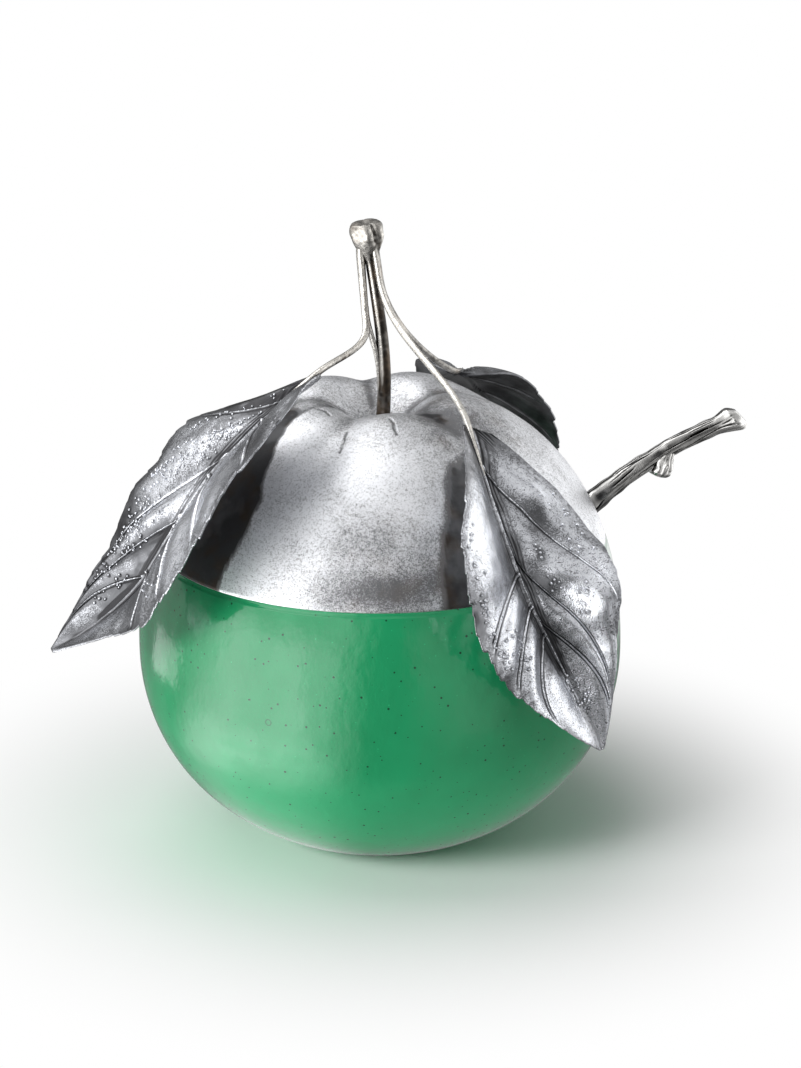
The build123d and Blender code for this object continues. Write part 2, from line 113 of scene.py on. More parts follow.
def full_turn(count: int) -> Array:
    """Evenly spaced angles round a full turn, in radians."""
    return np.linspace(0, 2 * np.pi, count, endpoint=False)


def cylinder(points: Array) -> tuple[Array, Array]:
    """Distances of points from the axis, and their directions in radians."""
    return np.hypot(points[..., 0], points[..., 1]), np.arctan2(points[..., 1], points[..., 0])


def bezier(points: Array, t: Array) -> Array:
    """Points of the Bezier curve: the sum of control points weighted by Bernstein polynomials of t.

    Args:
        points: control points, one per row.
        t: shares along the curve, of any shape.
    Returns:
        Points, with a last axis of three added to the shape of t.
    """
    last = len(points) - 1
    weights = [comb(last, k) * (1 - t) ** (last - k) * t**k for k in range(last + 1)]
    return np.tensordot(np.stack(weights, -1), points, axes=1)


def ring(reach: Array, angle: Array, height: Array) -> Array:
    """Points at these distances from an axis, angles in radians and heights."""
    return np.stack(np.broadcast_arrays(reach * np.cos(angle), reach * np.sin(angle), height), -1)


def polar(reach: Array, degrees: Array, height: Array) -> Array:
    """Points at these distances from the axis, directions in degrees and heights."""
    return ring(reach, np.radians(degrees), height)


def noise(points: Array, cell: float, seed: int) -> Array:
    """Smooth noise from -1 to 1: fixed random values on a cubic lattice, blended by smooth steps.

    Args:
        points: places in millimetres, with a last axis of three.
        cell: lattice spacing in millimetres.
        seed: picks another set of values.
    Returns:
        One value for each point.
    """
    scaled = points / cell
    base = np.floor(scaled).astype(np.int64)
    part = scaled - base
    part = part * part * (3 - 2 * part)
    total = np.zeros(points.shape[:-1])
    for corner in np.ndindex(2, 2, 2):
        i = base + np.array(corner)
        mixed = i[..., 0] * 73856093 ^ i[..., 1] * 19349663 ^ i[..., 2] * 83492791 ^ seed * 40503
        mixed = ((mixed ^ (mixed >> 13)) * 1274126177) & 0x7FFFFFFF
        value = ((mixed ^ (mixed >> 16)) & 0xFFFF) / 32767.5 - 1
        total += value * np.prod(np.where(np.array(corner) == 1, part, 1 - part), axis=-1)
    return total


def noises(points: Array, *layers: tuple) -> Array:
    """Sum of noises, each given as its height, lattice spacing and seed."""
    return sum(height * noise(points, cell, seed) for height, cell, seed in layers)


def grid_faces(rows: int, columns: int, rings: bool = False) -> Array:
    """Four-sided faces of a grid whose columns go round.

    Args:
        rows: rows of points.
        columns: points in a row.
        rings: whether the rows close on themselves too.
    Returns:
        Point numbers, one face per row.
    """
    index = np.arange(rows * columns).reshape(rows, columns)
    index = np.hstack([index, index[:, :1]])
    if rings:
        index = np.vstack([index, index[:1]])
    return np.stack([index[:-1, :-1], index[1:, :-1], index[1:, 1:], index[:-1, 1:]], -1).reshape(-1, 4)


def grid_piece(name: str, points: Array, darkening: Array | None = None, rings: bool = False) -> Object:
    """Closed piece from a grid of points whose columns go round, with its faces turned outwards.

    Args:
        name: the piece's name.
        points: rows by columns by three, in millimetres. A row that is one point closes an end.
        darkening: darkness of the metal at each point, from 0 to 1, with tarnish and, on some pieces, painted shade
            and painted highlights.
        rings: whether the rows close on themselves too.
    Returns:
        The new object, at the origin.
    """
    quads = grid_faces(*points.shape[:2], rings)
    flat = points.reshape(-1, 3)
    corners = flat[quads]
    half_volumes = np.einsum("ij,ij->i", corners[:, 0], np.cross(corners[:, 1], corners[:, 2]))
    half_volumes += np.einsum("ij,ij->i", corners[:, 0], np.cross(corners[:, 2], corners[:, 3]))
    if half_volumes.sum() < 0:
        quads = quads[:, ::-1]
    return mesh_piece(name, flat, quads, darkening)


def add_object(name: str, data: bpy.types.ID) -> Object:
    """New object of the scene, at the origin."""
    new = bpy.data.objects.new(name, data)
    bpy.context.scene.collection.objects.link(new)
    return new


def mesh_piece(name: str, points: Array, faces: Array, shade: Array | None = None,
               field: str = "darkening") -> Object:
    """Smooth mesh object from points in millimetres and faces of equal size, with doubled points merged.

    Args:
        name: the piece's name.
        points: one point per row.
        faces: point numbers, one face per row.
        shade: a value at each point, such as the darkness of the metal.
        field: the attribute's name.
    Returns:
        The new object, at the origin.
    """
    mesh = bpy.data.meshes.new(name)
    mesh.vertices.add(len(points))
    mesh.vertices.foreach_set("co", (points * MM).astype(np.float32).ravel())
    mesh.loops.add(faces.size)
    mesh.loops.foreach_set("vertex_index", faces.astype(np.int32).ravel())
    mesh.polygons.add(len(faces))
    mesh.polygons.foreach_set("loop_start", np.arange(0, faces.size, faces.shape[1], dtype=np.int32))
    mesh.update(calc_edges=True)
    if shade is not None:
        layer = mesh.attributes.new(field, "FLOAT", "POINT")
        layer.data.foreach_set("value", np.clip(shade, 0, MOST_SHADE).astype(np.float32).ravel())
    shape = bmesh.new()
    shape.from_mesh(mesh)
    bmesh.ops.remove_doubles(shape, verts=shape.verts, dist=MERGE)
    bmesh.ops.dissolve_degenerate(shape, edges=shape.edges, dist=0.1 * MERGE)
    shape.to_mesh(mesh)
    shape.free()
    mesh.polygons.foreach_set("use_smooth", np.ones(len(mesh.polygons), dtype=bool))
    return add_object(name, mesh)


def place(piece: Object, body: Body, slot: Slot, finish: Material, *nodes: str) -> None:
    """Gives a new piece its finish, its body and the nodes that it stands for.

    Args:
        piece: the new piece.
        body: the body that it rides on.
        slot: the record's finish; not used.
        finish: the material.
        nodes: nodes of the frame that it replaces.
    """
    piece.data.materials.append(finish)
    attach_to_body(piece, body.value)
    if nodes:
        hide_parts(*nodes)
    LOG.info("%s: %d faces on %s", piece.name, len(piece.data.polygons), body.value)


def even_path(points: Array, count: int) -> Array:
    """The same line with its points evenly spaced."""
    steps = np.linalg.norm(np.diff(points, axis=0), axis=1)
    length = np.concatenate([[0], np.cumsum(steps)])
    wanted = np.linspace(0, length[-1], count)
    return np.stack([np.interp(wanted, length, points[:, k]) for k in range(3)], -1)


def soften(path: Array, width: int) -> Array:
    """The same line with each point the mean of its neighbours, and its ends kept."""
    padded = np.concatenate([np.repeat(path[:1], width, 0), path, np.repeat(path[-1:], width, 0)])
    kernel = np.hanning(2 * width + 3)[1:-1]
    kernel = kernel / kernel.sum()
    rounded = np.stack([np.convolve(padded[:, k], kernel, mode="valid") for k in range(3)], -1)
    rounded[[0, -1]] = path[[0, -1]]
    return rounded


def tube(path: Array, side: Array, radius: Array) -> Array:
    """Grid of a bar: P(s, a) = path(s) + radius(s, a) (across cos a + up sin a), closed by flat ends.

    Args:
        path: middle line, one point per row.
        side: a direction that is never along the path; across is square to it and the path.
        radius: rows along the path by columns round it.
    Returns:
        The grid, with CAP_ROWS rows more at each end.
    """
    ahead = unit(np.gradient(path, axis=0))
    across = unit(np.cross(ahead, side))
    up = np.cross(ahead, across)
    angle = full_turn(radius.shape[1])
    spoke = across[:, None] * np.cos(angle)[None, :, None] + up[:, None] * np.sin(angle)[None, :, None]
    body = path[:, None] + spoke * radius[..., None]
    return close_ends(body, path[0], path[-1])


def close_ends(body: Array, first: Array, last: Array) -> Array:
    """Adds rows that draw the first and the last row in to these points, tight at the corner."""
    shares = CAP_SHARES[:, None, None]
    opening = first + (body[0] - first) * shares[::-1]
    closing = last + (body[-1] - last) * shares
    return np.concatenate([opening, body, closing])


def with_caps(rows: Array) -> Array:
    """Values along a bar, with the first and the last repeated for the rows that close its ends."""
    return np.concatenate([rows[:1].repeat(CAP_ROWS, 0), rows, rows[-1:].repeat(CAP_ROWS, 0)])


class Shader:
    """Adds and links the nodes of one material or world."""

    def __init__(self, owner: Material | bpy.types.World) -> None:
        """Starts from the nodes that a new material or world has."""
        owner.use_nodes = True
        self.owner = owner
        self.tree = owner.node_tree
        self.main = self.tree.nodes.get("Principled BSDF")

    @classmethod
    def material(cls, name: str) -> "Shader":
        """Shader of a new material."""
        return cls(bpy.data.materials.new(name))

    def add(self, kind: str, options: dict | None = None, **inputs: object) -> Node:
        """Adds a node.

        Args:
            kind: the node's type without its prefix.
            options: settings of the node itself.
            inputs: socket values or outputs to link, with spaces in socket names as underscores.
        Returns:
            The new node.
        """
        node = self.tree.nodes.new("ShaderNode" + kind)
        for key, value in (options or {}).items():
            setattr(node, key, value)
        self.fill(node, **inputs)
        return node

    def fill(self, node: Node, **inputs: object) -> None:
        """Sets or links sockets of a node, with spaces in socket names as underscores."""
        for key, value in inputs.items():
            self.join(node, key.replace("_", " "), value)

    def join(self, node: Node, socket: str | int, value: object) -> None:
        """Sets a socket to a constant, or links an output to it."""
        if isinstance(value, Socket):
            self.tree.links.new(value, node.inputs[socket])
        else:
            node.inputs[socket].default_value = value

    def place(self) -> Socket:
        """Place on the object, in metres."""
        return self.add("TexCoord").outputs["Object"]

    def field(self, name: str) -> Socket:
        """Value that the mesh carries under this name."""
        return self.add("Attribute", {"attribute_name": name}).outputs["Fac"]

    def noise(self, cell: float, detail: float, vector: object = None) -> Socket:
        """Noise with features of about this size in millimetres."""
        node = self.add("TexNoise", Vector=vector or self.place(), Scale=1 / (cell * MM), Detail=detail)
        return node.outputs["Fac"]

    def remap(self, value: Socket, low: float, high: float, first: float = 0.0,
              last: float = 1.0) -> Socket:
        """Smooth step of a value between low and high, from the first to the last result."""
        node = self.add("MapRange", {"interpolation_type": "SMOOTHSTEP"}, Value=value, From_Min=low,
                        From_Max=high, To_Min=first, To_Max=last)
        return node.outputs["Result"]

    def math(self, operation: str, first: object, second: object) -> Socket:
        """One sum of two values."""
        node = self.add("Math", {"operation": operation})
        self.join(node, 0, first)
        self.join(node, 1, second)
        return node.outputs[0]

    def blend(self, share: object, first: object, last: object) -> Socket:
        """Colour at a share of the way from the first to the last."""
        node = self.add("Mix", {"data_type": "RGBA"})
        self.join(node, 0, share)
        self.join(node, 6, first)
        self.join(node, 7, last)
        return node.outputs[2]

    def vector(self, operation: str, second: tuple | None = None) -> Node:
        """One vector sum of the place on the object, with a constant where it takes two."""
        node = self.add("VectorMath", {"operation": operation})
        self.join(node, 0, self.place())
        if second:
            self.join(node, 1, second)
        return node

    def relief(self, height: Socket, depth: float) -> None:
        """Fine relief of this depth in millimetres on the main shader."""
        node = self.add("Bump", Height=height, Distance=depth * MM)
        self.join(self.main, "Normal", node.outputs["Normal"])

    def seen(self) -> Socket:
        """1 for rays from the camera and for mirrored or refracted ones, and 0 for those that only light."""
        path = self.add("LightPath")
        seen = self.math("MAXIMUM", path.outputs["Is Camera Ray"], path.outputs["Is Glossy Ray"])
        return self.math("MAXIMUM", seen, path.outputs["Is Transmission Ray"])

    def show(self, surface: Node) -> None:
        """Makes a node the material's surface."""
        self.join(self.tree.nodes["Material Output"], "Surface", surface.outputs[0])


@dataclass(frozen=True)
class SilverFinish:
    """Silver with dark tarnish where it can't be rubbed and the painted shade and highlights that pieces carry, a
    stippled grain and soft clouds.
    """

    name: str
    bright: tuple
    # dark colour, used for tarnish and for painted shade alike
    tarnish: tuple
    stain: tuple  # browner tarnish, in clouds
    roughness: float
    grain: float  # size of the grain in millimetres
    grain_depth: float  # millimetres
    dots: float  # darkness of the grain's dots
    dot_gain: float  # how much thicker the dots stand in tarnished places
    cloud: float  # share of tarnish in broad clouds
    metal: float = 1.0  # below 1 for a frosted skin that scatters some light
    cloud_size: float = 8.0  # millimetres
    stain_size: float = 5.0
    patch_grains: float = 4.0  # size of patches with thicker dots, in grains
    patch_gain: float = 0.06
    dot_edge: tuple = (0.57, 0.69)  # grain at which a dot begins and is full
    dull: float = 0.12  # more roughness where it is tarnished

    def build(self) -> Material:
        """Makes the material: the mesh's darkening, which holds tarnish in recesses and on some pieces painted shade
        and painted highlights, and clouds set the dark colour, and dots thicken where there is more.
        """
        shader = Shader.material(self.name)
        grain = shader.noise(self.grain, 1.0)
        patch = shader.noise(self.patch_grains * self.grain, 2.0)
        broad = shader.noise(self.cloud_size, 4.0)
        level = shader.math("ADD", shader.field("darkening"), shader.remap(broad, 0.3, 0.7, -self.cloud, self.cloud))
        thick = shader.math("ADD", grain, shader.math("MULTIPLY", level, self.dot_gain))
        thick = shader.math("ADD", thick, shader.remap(patch, 0.35, 0.65, -self.patch_gain, self.patch_gain))
        dots = shader.remap(thick, *self.dot_edge, 0.0, self.dots)
        dark = shader.math("MAXIMUM", level, dots)
        stained = shader.remap(shader.noise(self.stain_size, 3.0), 0.45, 0.7)
        tarnish = shader.blend(stained, (*self.tarnish, 1), (*self.stain, 1))
        colour = shader.blend(dark, (*self.bright, 1), tarnish)
        rough = shader.remap(dark, 0.0, 1.0, self.roughness, self.roughness + self.dull)
        shader.fill(shader.main, Base_Color=colour, Metallic=self.metal, Roughness=rough)
        shader.relief(grain, self.grain_depth)
        return shader.owner


@dataclass(frozen=True)
class GlassFinish:
    """Opaque green glass with clouds of colour, painted light that pales it towards the floor, dark specks, pale
    bubbles and a glossy, slightly hazy skin.
    """

    name: str
    green: tuple
    pale: tuple
    speck: tuple
    speck_cell: float  # spacing of the specks in millimetres
    roughness: float
    haze: float  # share of the soft outer gloss
    haze_roughness: float
    floor_bounce_height: float  # height up to which the glass is painted paler, as painted light bounced from the floor, in millimetres
    bubble: tuple  # middle of a broken bubble's ring, in millimetres
    bubble_radius: float = 0.6
    bubble_line: float = 0.13  # half width of the ring's line
    bubble_dark: float = 0.6
    speck_size: float = 0.2  # largest speck, in cells
    seed_cell: float = 0.8  # spacing of the small pale bubbles, in cells of the specks
    seed_size: float = 0.12
    cloud_size: float = 30.0
    cloud_most: float = 0.35  # share of the paler green in clouds
    pale_most: float = 1.3  # limit of that share with the painted floor light
    index: float = 1.55  # of refraction
    dull: float = 0.05  # more roughness in clouds
    dull_size: float = 6.0
    dimple: float = 3.0  # size of the skin's dimples, in millimetres
    dimple_depth: float = 0.14
    drawn: tuple = (1.0, 1.0, 0.7)  # dimples are longer upwards, as the glass was drawn

    def build(self) -> Material:
        """Makes the material: two greens in broad clouds and paler towards the floor as painted light, with specks
        and bubbles near cell centres.
        """
        shader = Shader.material(self.name)
        cloud = shader.remap(shader.noise(self.cloud_size, 3.0), 0.35, 0.7, 0.0, self.cloud_most)
        height = shader.add("SeparateXYZ", Vector=shader.place()).outputs["Z"]
        # painted light: paler green towards the floor, for light bounced up from it
        foot = shader.remap(height, self.floor_bounce_height * MM, 0.0)
        cloud = shader.math("MINIMUM", shader.math("ADD", cloud, foot), self.pale_most)
        colour = shader.blend(cloud, (*self.green, 1), (*self.pale, 1))
        specks = (self.speck_cell, self.speck_size, self.speck)
        seeds = (self.seed_cell * self.speck_cell, self.seed_size, self.pale)
        for cell, size, tint in (specks, seeds):
            dots = shader.add("TexVoronoi", Vector=shader.place(), Scale=1 / (cell * MM))
            picked = shader.add("SeparateColor", Color=dots.outputs["Color"])
            wide = shader.math("MULTIPLY", shader.math("POWER", picked.outputs[0], 2.0), size)
            dot = shader.math("LESS_THAN", dots.outputs["Distance"], wide)
            colour = shader.blend(dot, colour, (*tint, 1))
        away = shader.vector("DISTANCE", tuple(MM * part for part in self.bubble))
        line = shader.math("COMPARE", away.outputs["Value"], self.bubble_radius * MM)
        shader.join(line.node, 2, self.bubble_line * MM)
        colour = shader.blend(shader.math("MULTIPLY", line, self.bubble_dark), colour, (*self.speck, 1))
        rough = shader.remap(shader.noise(self.dull_size, 3.0), 0.3, 0.8, self.roughness, self.roughness + self.dull)
        shader.fill(shader.main, Base_Color=colour, Roughness=rough, IOR=self.index, Coat_Weight=self.haze,
                    Coat_Roughness=self.haze_roughness)
        stretched = shader.vector("MULTIPLY", self.drawn).outputs["Vector"]
        shader.relief(shader.noise(self.dimple, 3.0, stretched), self.dimple_depth)
        return shader.owner


@dataclass(frozen=True)
class FruitForm:
    """Round form that the glass and the lid share, as superellipses below and above the widest circle."""

    radius: float = 50.0
    equator: float = 40.0
    base_radius: float = 21.0
    belly_power: float = 2.1
    shoulder_rise: float = 54.2
    shoulder_power: float = 2.2
    rim_rise: float = 22.8
    glass_wall: float = 3.2
    glass_floor: float = 5.0

    @property
    def rim_height(self) -> float:
        """Height of the glass rim."""
        return self.equator + self.rim_rise

    @property
    def crown_height(self) -> float:
        """Height of the fruit's top before its dimple."""
        return self.equator + self.shoulder_rise

    def shoulder(self, height: Array, inset: float = 0.0) -> Array:
        """Radius above the widest circle: R (1 - (h / rise)^p)^(1 / p)."""
        share = (height - self.equator) / (self.shoulder_rise - inset)
        return (self.radius - inset) * (1 - np.abs(share) ** self.shoulder_power) ** (1 / self.shoulder_power)

    @property
    def rim_radius(self) -> float:
        """Outer radius of the glass rim and the lid's lower edge."""
        return float(self.shoulder(self.rim_height))

    @property
    def mouth_radius(self) -> float:
        """Inner radius of the glass rim."""
        return float(self.shoulder(self.rim_height, self.glass_wall))

    def profile(self, inset: float, depth: float, lowest: float, rows: int) -> Array:
        """Half section from the lowest height to the rim, as (radius, height)."""
        low = np.arcsin(min(1, ((self.equator - lowest) / depth) ** (self.belly_power / 2)))
        rise = self.shoulder_rise - inset
        high = np.arcsin((self.rim_rise / rise) ** (self.shoulder_power / 2))
        a = np.linspace(low, 0, rows, endpoint=False)
        b = np.linspace(0, high, rows)
        reach = np.concatenate([np.cos(a).clip(0) ** (2 / self.belly_power), np.cos(b) ** (2 / self.shoulder_power)])
        below = self.equator - depth * np.sin(a) ** (2 / self.belly_power)
        above = self.equator + rise * np.sin(b) ** (2 / self.shoulder_power)
        return np.stack([(self.radius - inset) * reach, np.concatenate([below, above])], -1)


@dataclass
class GlassBowl:
    """Blown glass bowl."""

    form: FruitForm
    rim_rounding: float = 0.7
    foot_rounding: float = 1.8
    columns: int = 300
    rows: int = 80
    uneven: tuple = ((0.14, 26.0, 3), (0.025, 7.0, 4))  # slow and quick noise of the blown wall
    foot_flat: float = 2.5  # how far the foot's bend begins inside the base circle
    foot_bulge: float = 0.3  # and how far it passes that circle
    rim_powers: tuple = (0.35, 0.7)  # squareness of the rim across and up

    def build(self, finish: Material) -> None:
        """Turns the section round the axis: foot, outer wall, rounded rim, inner wall and floor."""
        form = self.form
        share = (form.base_radius / form.radius) ** form.belly_power
        depth = form.equator / (1 - share) ** (1 / form.belly_power)
        outer = form.profile(0.0, depth, 0.0, self.rows)
        inner = form.profile(form.glass_wall, form.equator - form.glass_floor, form.glass_floor, self.rows)
        wall_top = form.rim_height - self.rim_rounding - RIM_GAP
        outer = outer[(outer[:, 1] > self.foot_rounding) & (outer[:, 1] < wall_top)]
        inner = inner[inner[:, 1] < wall_top]
        corner = [[form.base_radius - self.foot_flat, 0], [form.base_radius + self.foot_bulge, 0], outer[0]]
        foot = bezier(np.array(corner), np.linspace(0, 1, 10, endpoint=False))
        turn = np.linspace(0, np.pi, 12)
        middle, half = (form.rim_radius + form.mouth_radius) / 2, (form.rim_radius - form.mouth_radius) / 2
        rim = np.stack([middle + half * np.sign(np.cos(turn)) * np.abs(np.cos(turn)) ** self.rim_powers[0],
                        form.rim_height - self.rim_rounding * (1 - np.sin(turn) ** self.rim_powers[1])], -1)
        base = np.array([[0.0, 0.0], [0.5 * form.base_radius, 0.0]])
        section = np.concatenate([base, foot, outer, rim, inner[::-1]])
        section[-1, 0] = 0.0
        angle = np.degrees(full_turn(self.columns))
        points = polar(section[:, :1], angle, section[:, 1:])
        free = smooth(points[..., 2], 1.0, 12.0) * smooth(form.rim_height - points[..., 2], 0.5, 10.0)
        points = points + polar(1.0, angle, 0.0) * (free * noises(points, *self.uneven))[..., None]
        place(grid_piece("green_glass_bowl", points), Body.BOWL, Slot.GREEN_GLASS, finish, "glass_bowl")


@dataclass(frozen=True)
class PaintedLeafShadow:
    """Painted shadow of a leaf on the lid, as a dark patch: directions in degrees, by height."""

    heights: tuple
    near: tuple  # edge that the photograph shows
    width: float  # degrees from there to the hidden edge, below 0 for clockwise
    depth: float  # darkness
    top: float  # height where it ends
    soft: float = 0.9  # half width of the near edge's fade, in millimetres
    fade: float = 9.0  # width of the hidden edge's fade

    def shade(self, points: Array, waver: Array) -> Array:
        """Darkness at these points: 1 between the two edges, with a wavering edge."""
        near = np.interp(points[..., 2], self.heights, self.near)
        reach, turn = cylinder(points)
        past = (np.degrees(turn) - near) * np.sign(self.width)
        past = (past + PAINTED_SHADOW_BACK) % 360 - PAINTED_SHADOW_BACK
        span = reach * np.radians(1)
        inside = smooth(past * span + 0.5 * waver, -self.soft, self.soft)
        inside = inside * smooth((abs(self.width) - past) * span + waver, 0.0, self.fade)
        return self.depth * inside * smooth(self.top - points[..., 2] + 0.7 * waver, -0.8, 1.2)


@dataclass(frozen=True)
class LidTarnishAndLight:
    """Soft patch of the lid with more darkness, as tarnish and painted shade, or with less for a depth below 0, as a
    painted highlight.
    """

    degrees: float
    height: float
    wide: float  # degrees
    tall: float  # millimetres
    depth: float

    def shade(self, points: Array, waver: Array) -> Array:
        """Change of darkness at these points: a bell curve round and one up, broken up by noise."""
        turn = np.degrees(cylinder(points)[1]) - self.degrees
        turn = (turn + 180) % 360 - 180
        patch = bump(turn, self.wide) * bump(points[..., 2] - self.height, self.tall)
        return self.depth * patch * (1 + 0.35 * waver)


@dataclass
class LidDome:
    """Raised silver lid with five lobes, a dimple for the stalk and a notch for the spoon."""

    form: FruitForm
    painted_leaf_shadows: tuple
    tarnish_and_light_patches: tuple
    cracks: tuple  # chased cracks near the dimple, each as points (reach, degrees)
    wall: float = 1.0
    dimple_depth: float = 9.6
    dimple_spread: float = 9.0
    seat: float = 4.0  # radius of the flat under the stalk
    hole: float = 0.9  # radius of the hole for the stalk's tenon
    hole_shift: float = 0.7  # along X
    lobes: int = 5
    lobe_height: float = 1.4
    lobe_circle: float = 20.0  # radius at which the lobes are highest
    lobe_turn: float = -88.0  # direction of one lobe, in degrees
    lobe_valley: float = 0.02  # above 0, rounds the valleys
    notch_half: float = 3.3
    notch_top: float = 70.9
    rows: int = 150
    inner_rows: int = 40
    columns: int = 400
    notch_columns: int = 41
    notch_rounds: int = 30  # rounds in which the notch's edge is found
    row_power: float = 1.15  # above 1, rows stand closer at the lower edge
    hammer: float = 0.09  # height of the hammer marks
    marks: tuple = ((1.0, 7.0, 5), (0.5, 2.5, 6))  # broad and small ones
    waver: tuple = ((1.0, 4.0, 8), (0.6, 1.2, 9))  # unevenness of the tarnish's edges
    waver_dark: float = 0.06
    cloud: tuple = (0.12, 14.0, 10)
    crack_width: float = 0.22
    crack_depth: float = 0.3
    crack_dark: float = 0.7
    dimple_dark: float = 0.45
    dimple_dark_spread: float = 7.0
    # tarnish and painted shade in the valleys between the lobes
    valley_tarnish_and_shade: float = 0.4
    edge_dark: float = 0.05  # also the least darkness of the outer skin
    inner_dark: float = 0.6
    edge_drop: float = 0.12  # how far the lower edge is rounded down
    edge_shares: tuple = (0.15, 0.5, 0.85)

    def mean(self, reach: Array) -> Array:
        """Mean height: the shoulder less a bell-shaped dimple."""
        form = self.form
        share = (1 - (reach / form.radius) ** form.shoulder_power) ** (1 / form.shoulder_power)
        return form.equator + form.shoulder_rise * share - self.dimple_depth * bump(reach, self.dimple_spread)

    def lobe(self, reach: Array, turn: Array) -> Array:
        """Rise of the lobes: folded cosines round the axis, strongest at the lobe circle."""
        share = (reach / self.lobe_circle) ** 2
        window = share * np.exp(1 - share) * (1 - (reach / self.form.rim_radius) ** 4)
        window = window * (1 - (self.seat / np.maximum(reach, self.seat)) ** 2)
        wave = np.sqrt(np.cos(self.lobes * (turn - np.radians(self.lobe_turn)) / 2) ** 2 + self.lobe_valley)
        return self.lobe_height * window * (2 * wave - 1)

    def crack(self, points: Array) -> Array:
        """Depth of the chased cracks, from 0 to 1: a bell curve of the distance to each broken line."""
        depth = np.zeros(points.shape[:-1])
        for crack in self.cracks:
            reach, degrees = np.array(crack).T
            line = polar(reach, degrees, 0.0)[:, :2]
            for start, end in zip(line[:-1], line[1:]):
                ahead = end - start
                t = np.clip((points[..., :2] - start) @ ahead / (ahead @ ahead), 0, 1)
                away = np.linalg.norm(points[..., :2] - start - t[..., None] * ahead, axis=-1)
                depth = np.maximum(depth, bump(away, self.crack_width))
        return depth

    def skin(self, reach: Array, turn: Array, inset: float) -> Array:
        """Points of the sheet at this depth below its outer skin, with hammer marks and cracks."""
        step = 0.05
        slope = (self.mean(reach) - self.mean(reach - step)) / step
        length = np.hypot(slope, 1)
        height = self.mean(reach) + self.lobe(reach, turn) - inset / length
        points = polar(reach + inset * slope / length, np.degrees(turn), height)
        marks = noises(points, *self.marks)
        points[..., 2] += self.hammer * marks * smooth(self.form.rim_radius - reach, 0.5, 4.0)
        if inset == 0:
            points[..., 2] -= self.crack_depth * self.crack(points)
        return points

    def tarnish(self, points: Array) -> Array:
        """Darkness: tarnish in the dimple and cracks, tarnish and painted shade in the valleys and patches, painted
        highlights in patches, and painted leaf shadows.
        """
        reach, turn = cylinder(points)
        waver = noises(points, *self.waver)
        wave = np.abs(np.cos(self.lobes * (turn - np.radians(self.lobe_turn)) / 2))
        valley = smooth(-wave, -0.5, 0.0) * smooth(reach, 3.0, 8.0) * smooth(-reach, -30.0, -14.0)
        dark = self.edge_dark + self.dimple_dark * bump(reach, self.dimple_dark_spread)
        # tarnish and painted shade in the valleys between the lobes
        dark = dark + (self.valley_tarnish_and_shade + 0.2 * waver) * valley
        dark = dark + self.crack_dark * self.crack(points) + noises(points, self.cloud) + self.waver_dark * waver
        # patches of tarnish and painted shade, and painted highlights where the depth is below 0
        for stain in self.tarnish_and_light_patches:
            dark = dark + stain.shade(points, waver)
        # painted shadows of the leaves on the lid
        for painted_leaf_shadow in self.painted_leaf_shadows:
            dark = np.maximum(dark, painted_leaf_shadow.shade(points, waver))
        return dark

    def build(self, finish: Material) -> None:
        """Lays the sheet as one grid: outer skin from hole to edge, round the edge, inner skin back."""
        form = self.form
        inside = np.arcsin(np.linspace(-1, 1, self.notch_columns) * self.notch_half / form.rim_radius)
        beside = inside[[0, -1]] * 1.004
        even = np.linspace(-np.pi, np.pi, self.columns, endpoint=False)
        even = even[np.abs(even) > np.abs(beside[0]) * 1.02]
        turn = np.sort(np.concatenate([even, inside, beside]))
        start = np.full(turn.shape, form.rim_radius)
        in_notch = np.abs(turn) <= np.abs(inside[0]) + 1e-9
        for _ in range(self.notch_rounds):
            y = np.clip(start * np.sin(turn), -self.notch_half, self.notch_half)
            arch = self.notch_top - self.notch_half + np.sqrt(np.maximum(self.notch_half**2 - y**2, 0))
            start = np.where(in_notch, form.shoulder(arch), form.rim_radius)
        skins = []
        for rows, inset in ((self.rows, 0.0), (self.inner_rows, self.wall)):
            share = np.sin(0.5 * np.pi * np.linspace(0, 1, rows)) ** self.row_power
            reach = mix(start[None, :], self.seat, share[:, None])
            sheet = self.skin(reach, turn[None, :], inset)
            hole = polar(self.hole, np.degrees(turn), sheet[-1, :, 2]) + np.array([self.hole_shift, 0, 0])
            skins.append(np.concatenate([sheet, hole[None]]))
        outer, inner = skins
        shares = np.array(self.edge_shares)[:, None, None]
        edge = mix(outer[0], inner[0], shares) - np.array([0, 0, self.edge_drop])
        points = np.concatenate([outer[::-1], edge, inner])
        # darkening: tarnish, painted leaf shadows, and patches of tarnish, painted shade and painted highlights
        darkening = self.tarnish(points)
        darkening[len(outer):-len(inner)] = self.edge_dark
        darkening[-len(inner):] = self.inner_dark
        piece = grid_piece("stippled_lid_dome", points, darkening, rings=True)
        place(piece, Body.LID, Slot.LID_SILVER, finish, "lid_dome")


@dataclass(frozen=True)
class Vein:
    """A side vein: it leaves the midrib at start and runs ahead by reach |v|^power on its way to the margin."""

    start: float
    reach: float
    power: float = 1.0


@dataclass(frozen=True)
class BeadPatch:
    """Raised beads scattered in an oval patch of a blade."""

    u: float
    v: float
    spread_u: float
    spread_v: float
    count: int
    turn: float = 0.0  # how far v runs ahead in u, so that rows follow the veins


@dataclass(frozen=True)
class LeafTarnishAndLight:
    """Soft oval patch of a blade with more darkness, as tarnish and painted shade, or with less for a depth below 0,
    as a painted highlight.
    """

    u: float
    v: float
    wide_u: float
    wide_v: float
    depth: float
    lift: float = 0.0  # how far the sheet is raised there, in millimetres

    def share(self, u: Array, v: Array) -> Array:
        """Share of the patch: a bell curve along the blade times one across."""
        return bump(u - self.u, self.wide_u) * bump(v - self.v, self.wide_v)


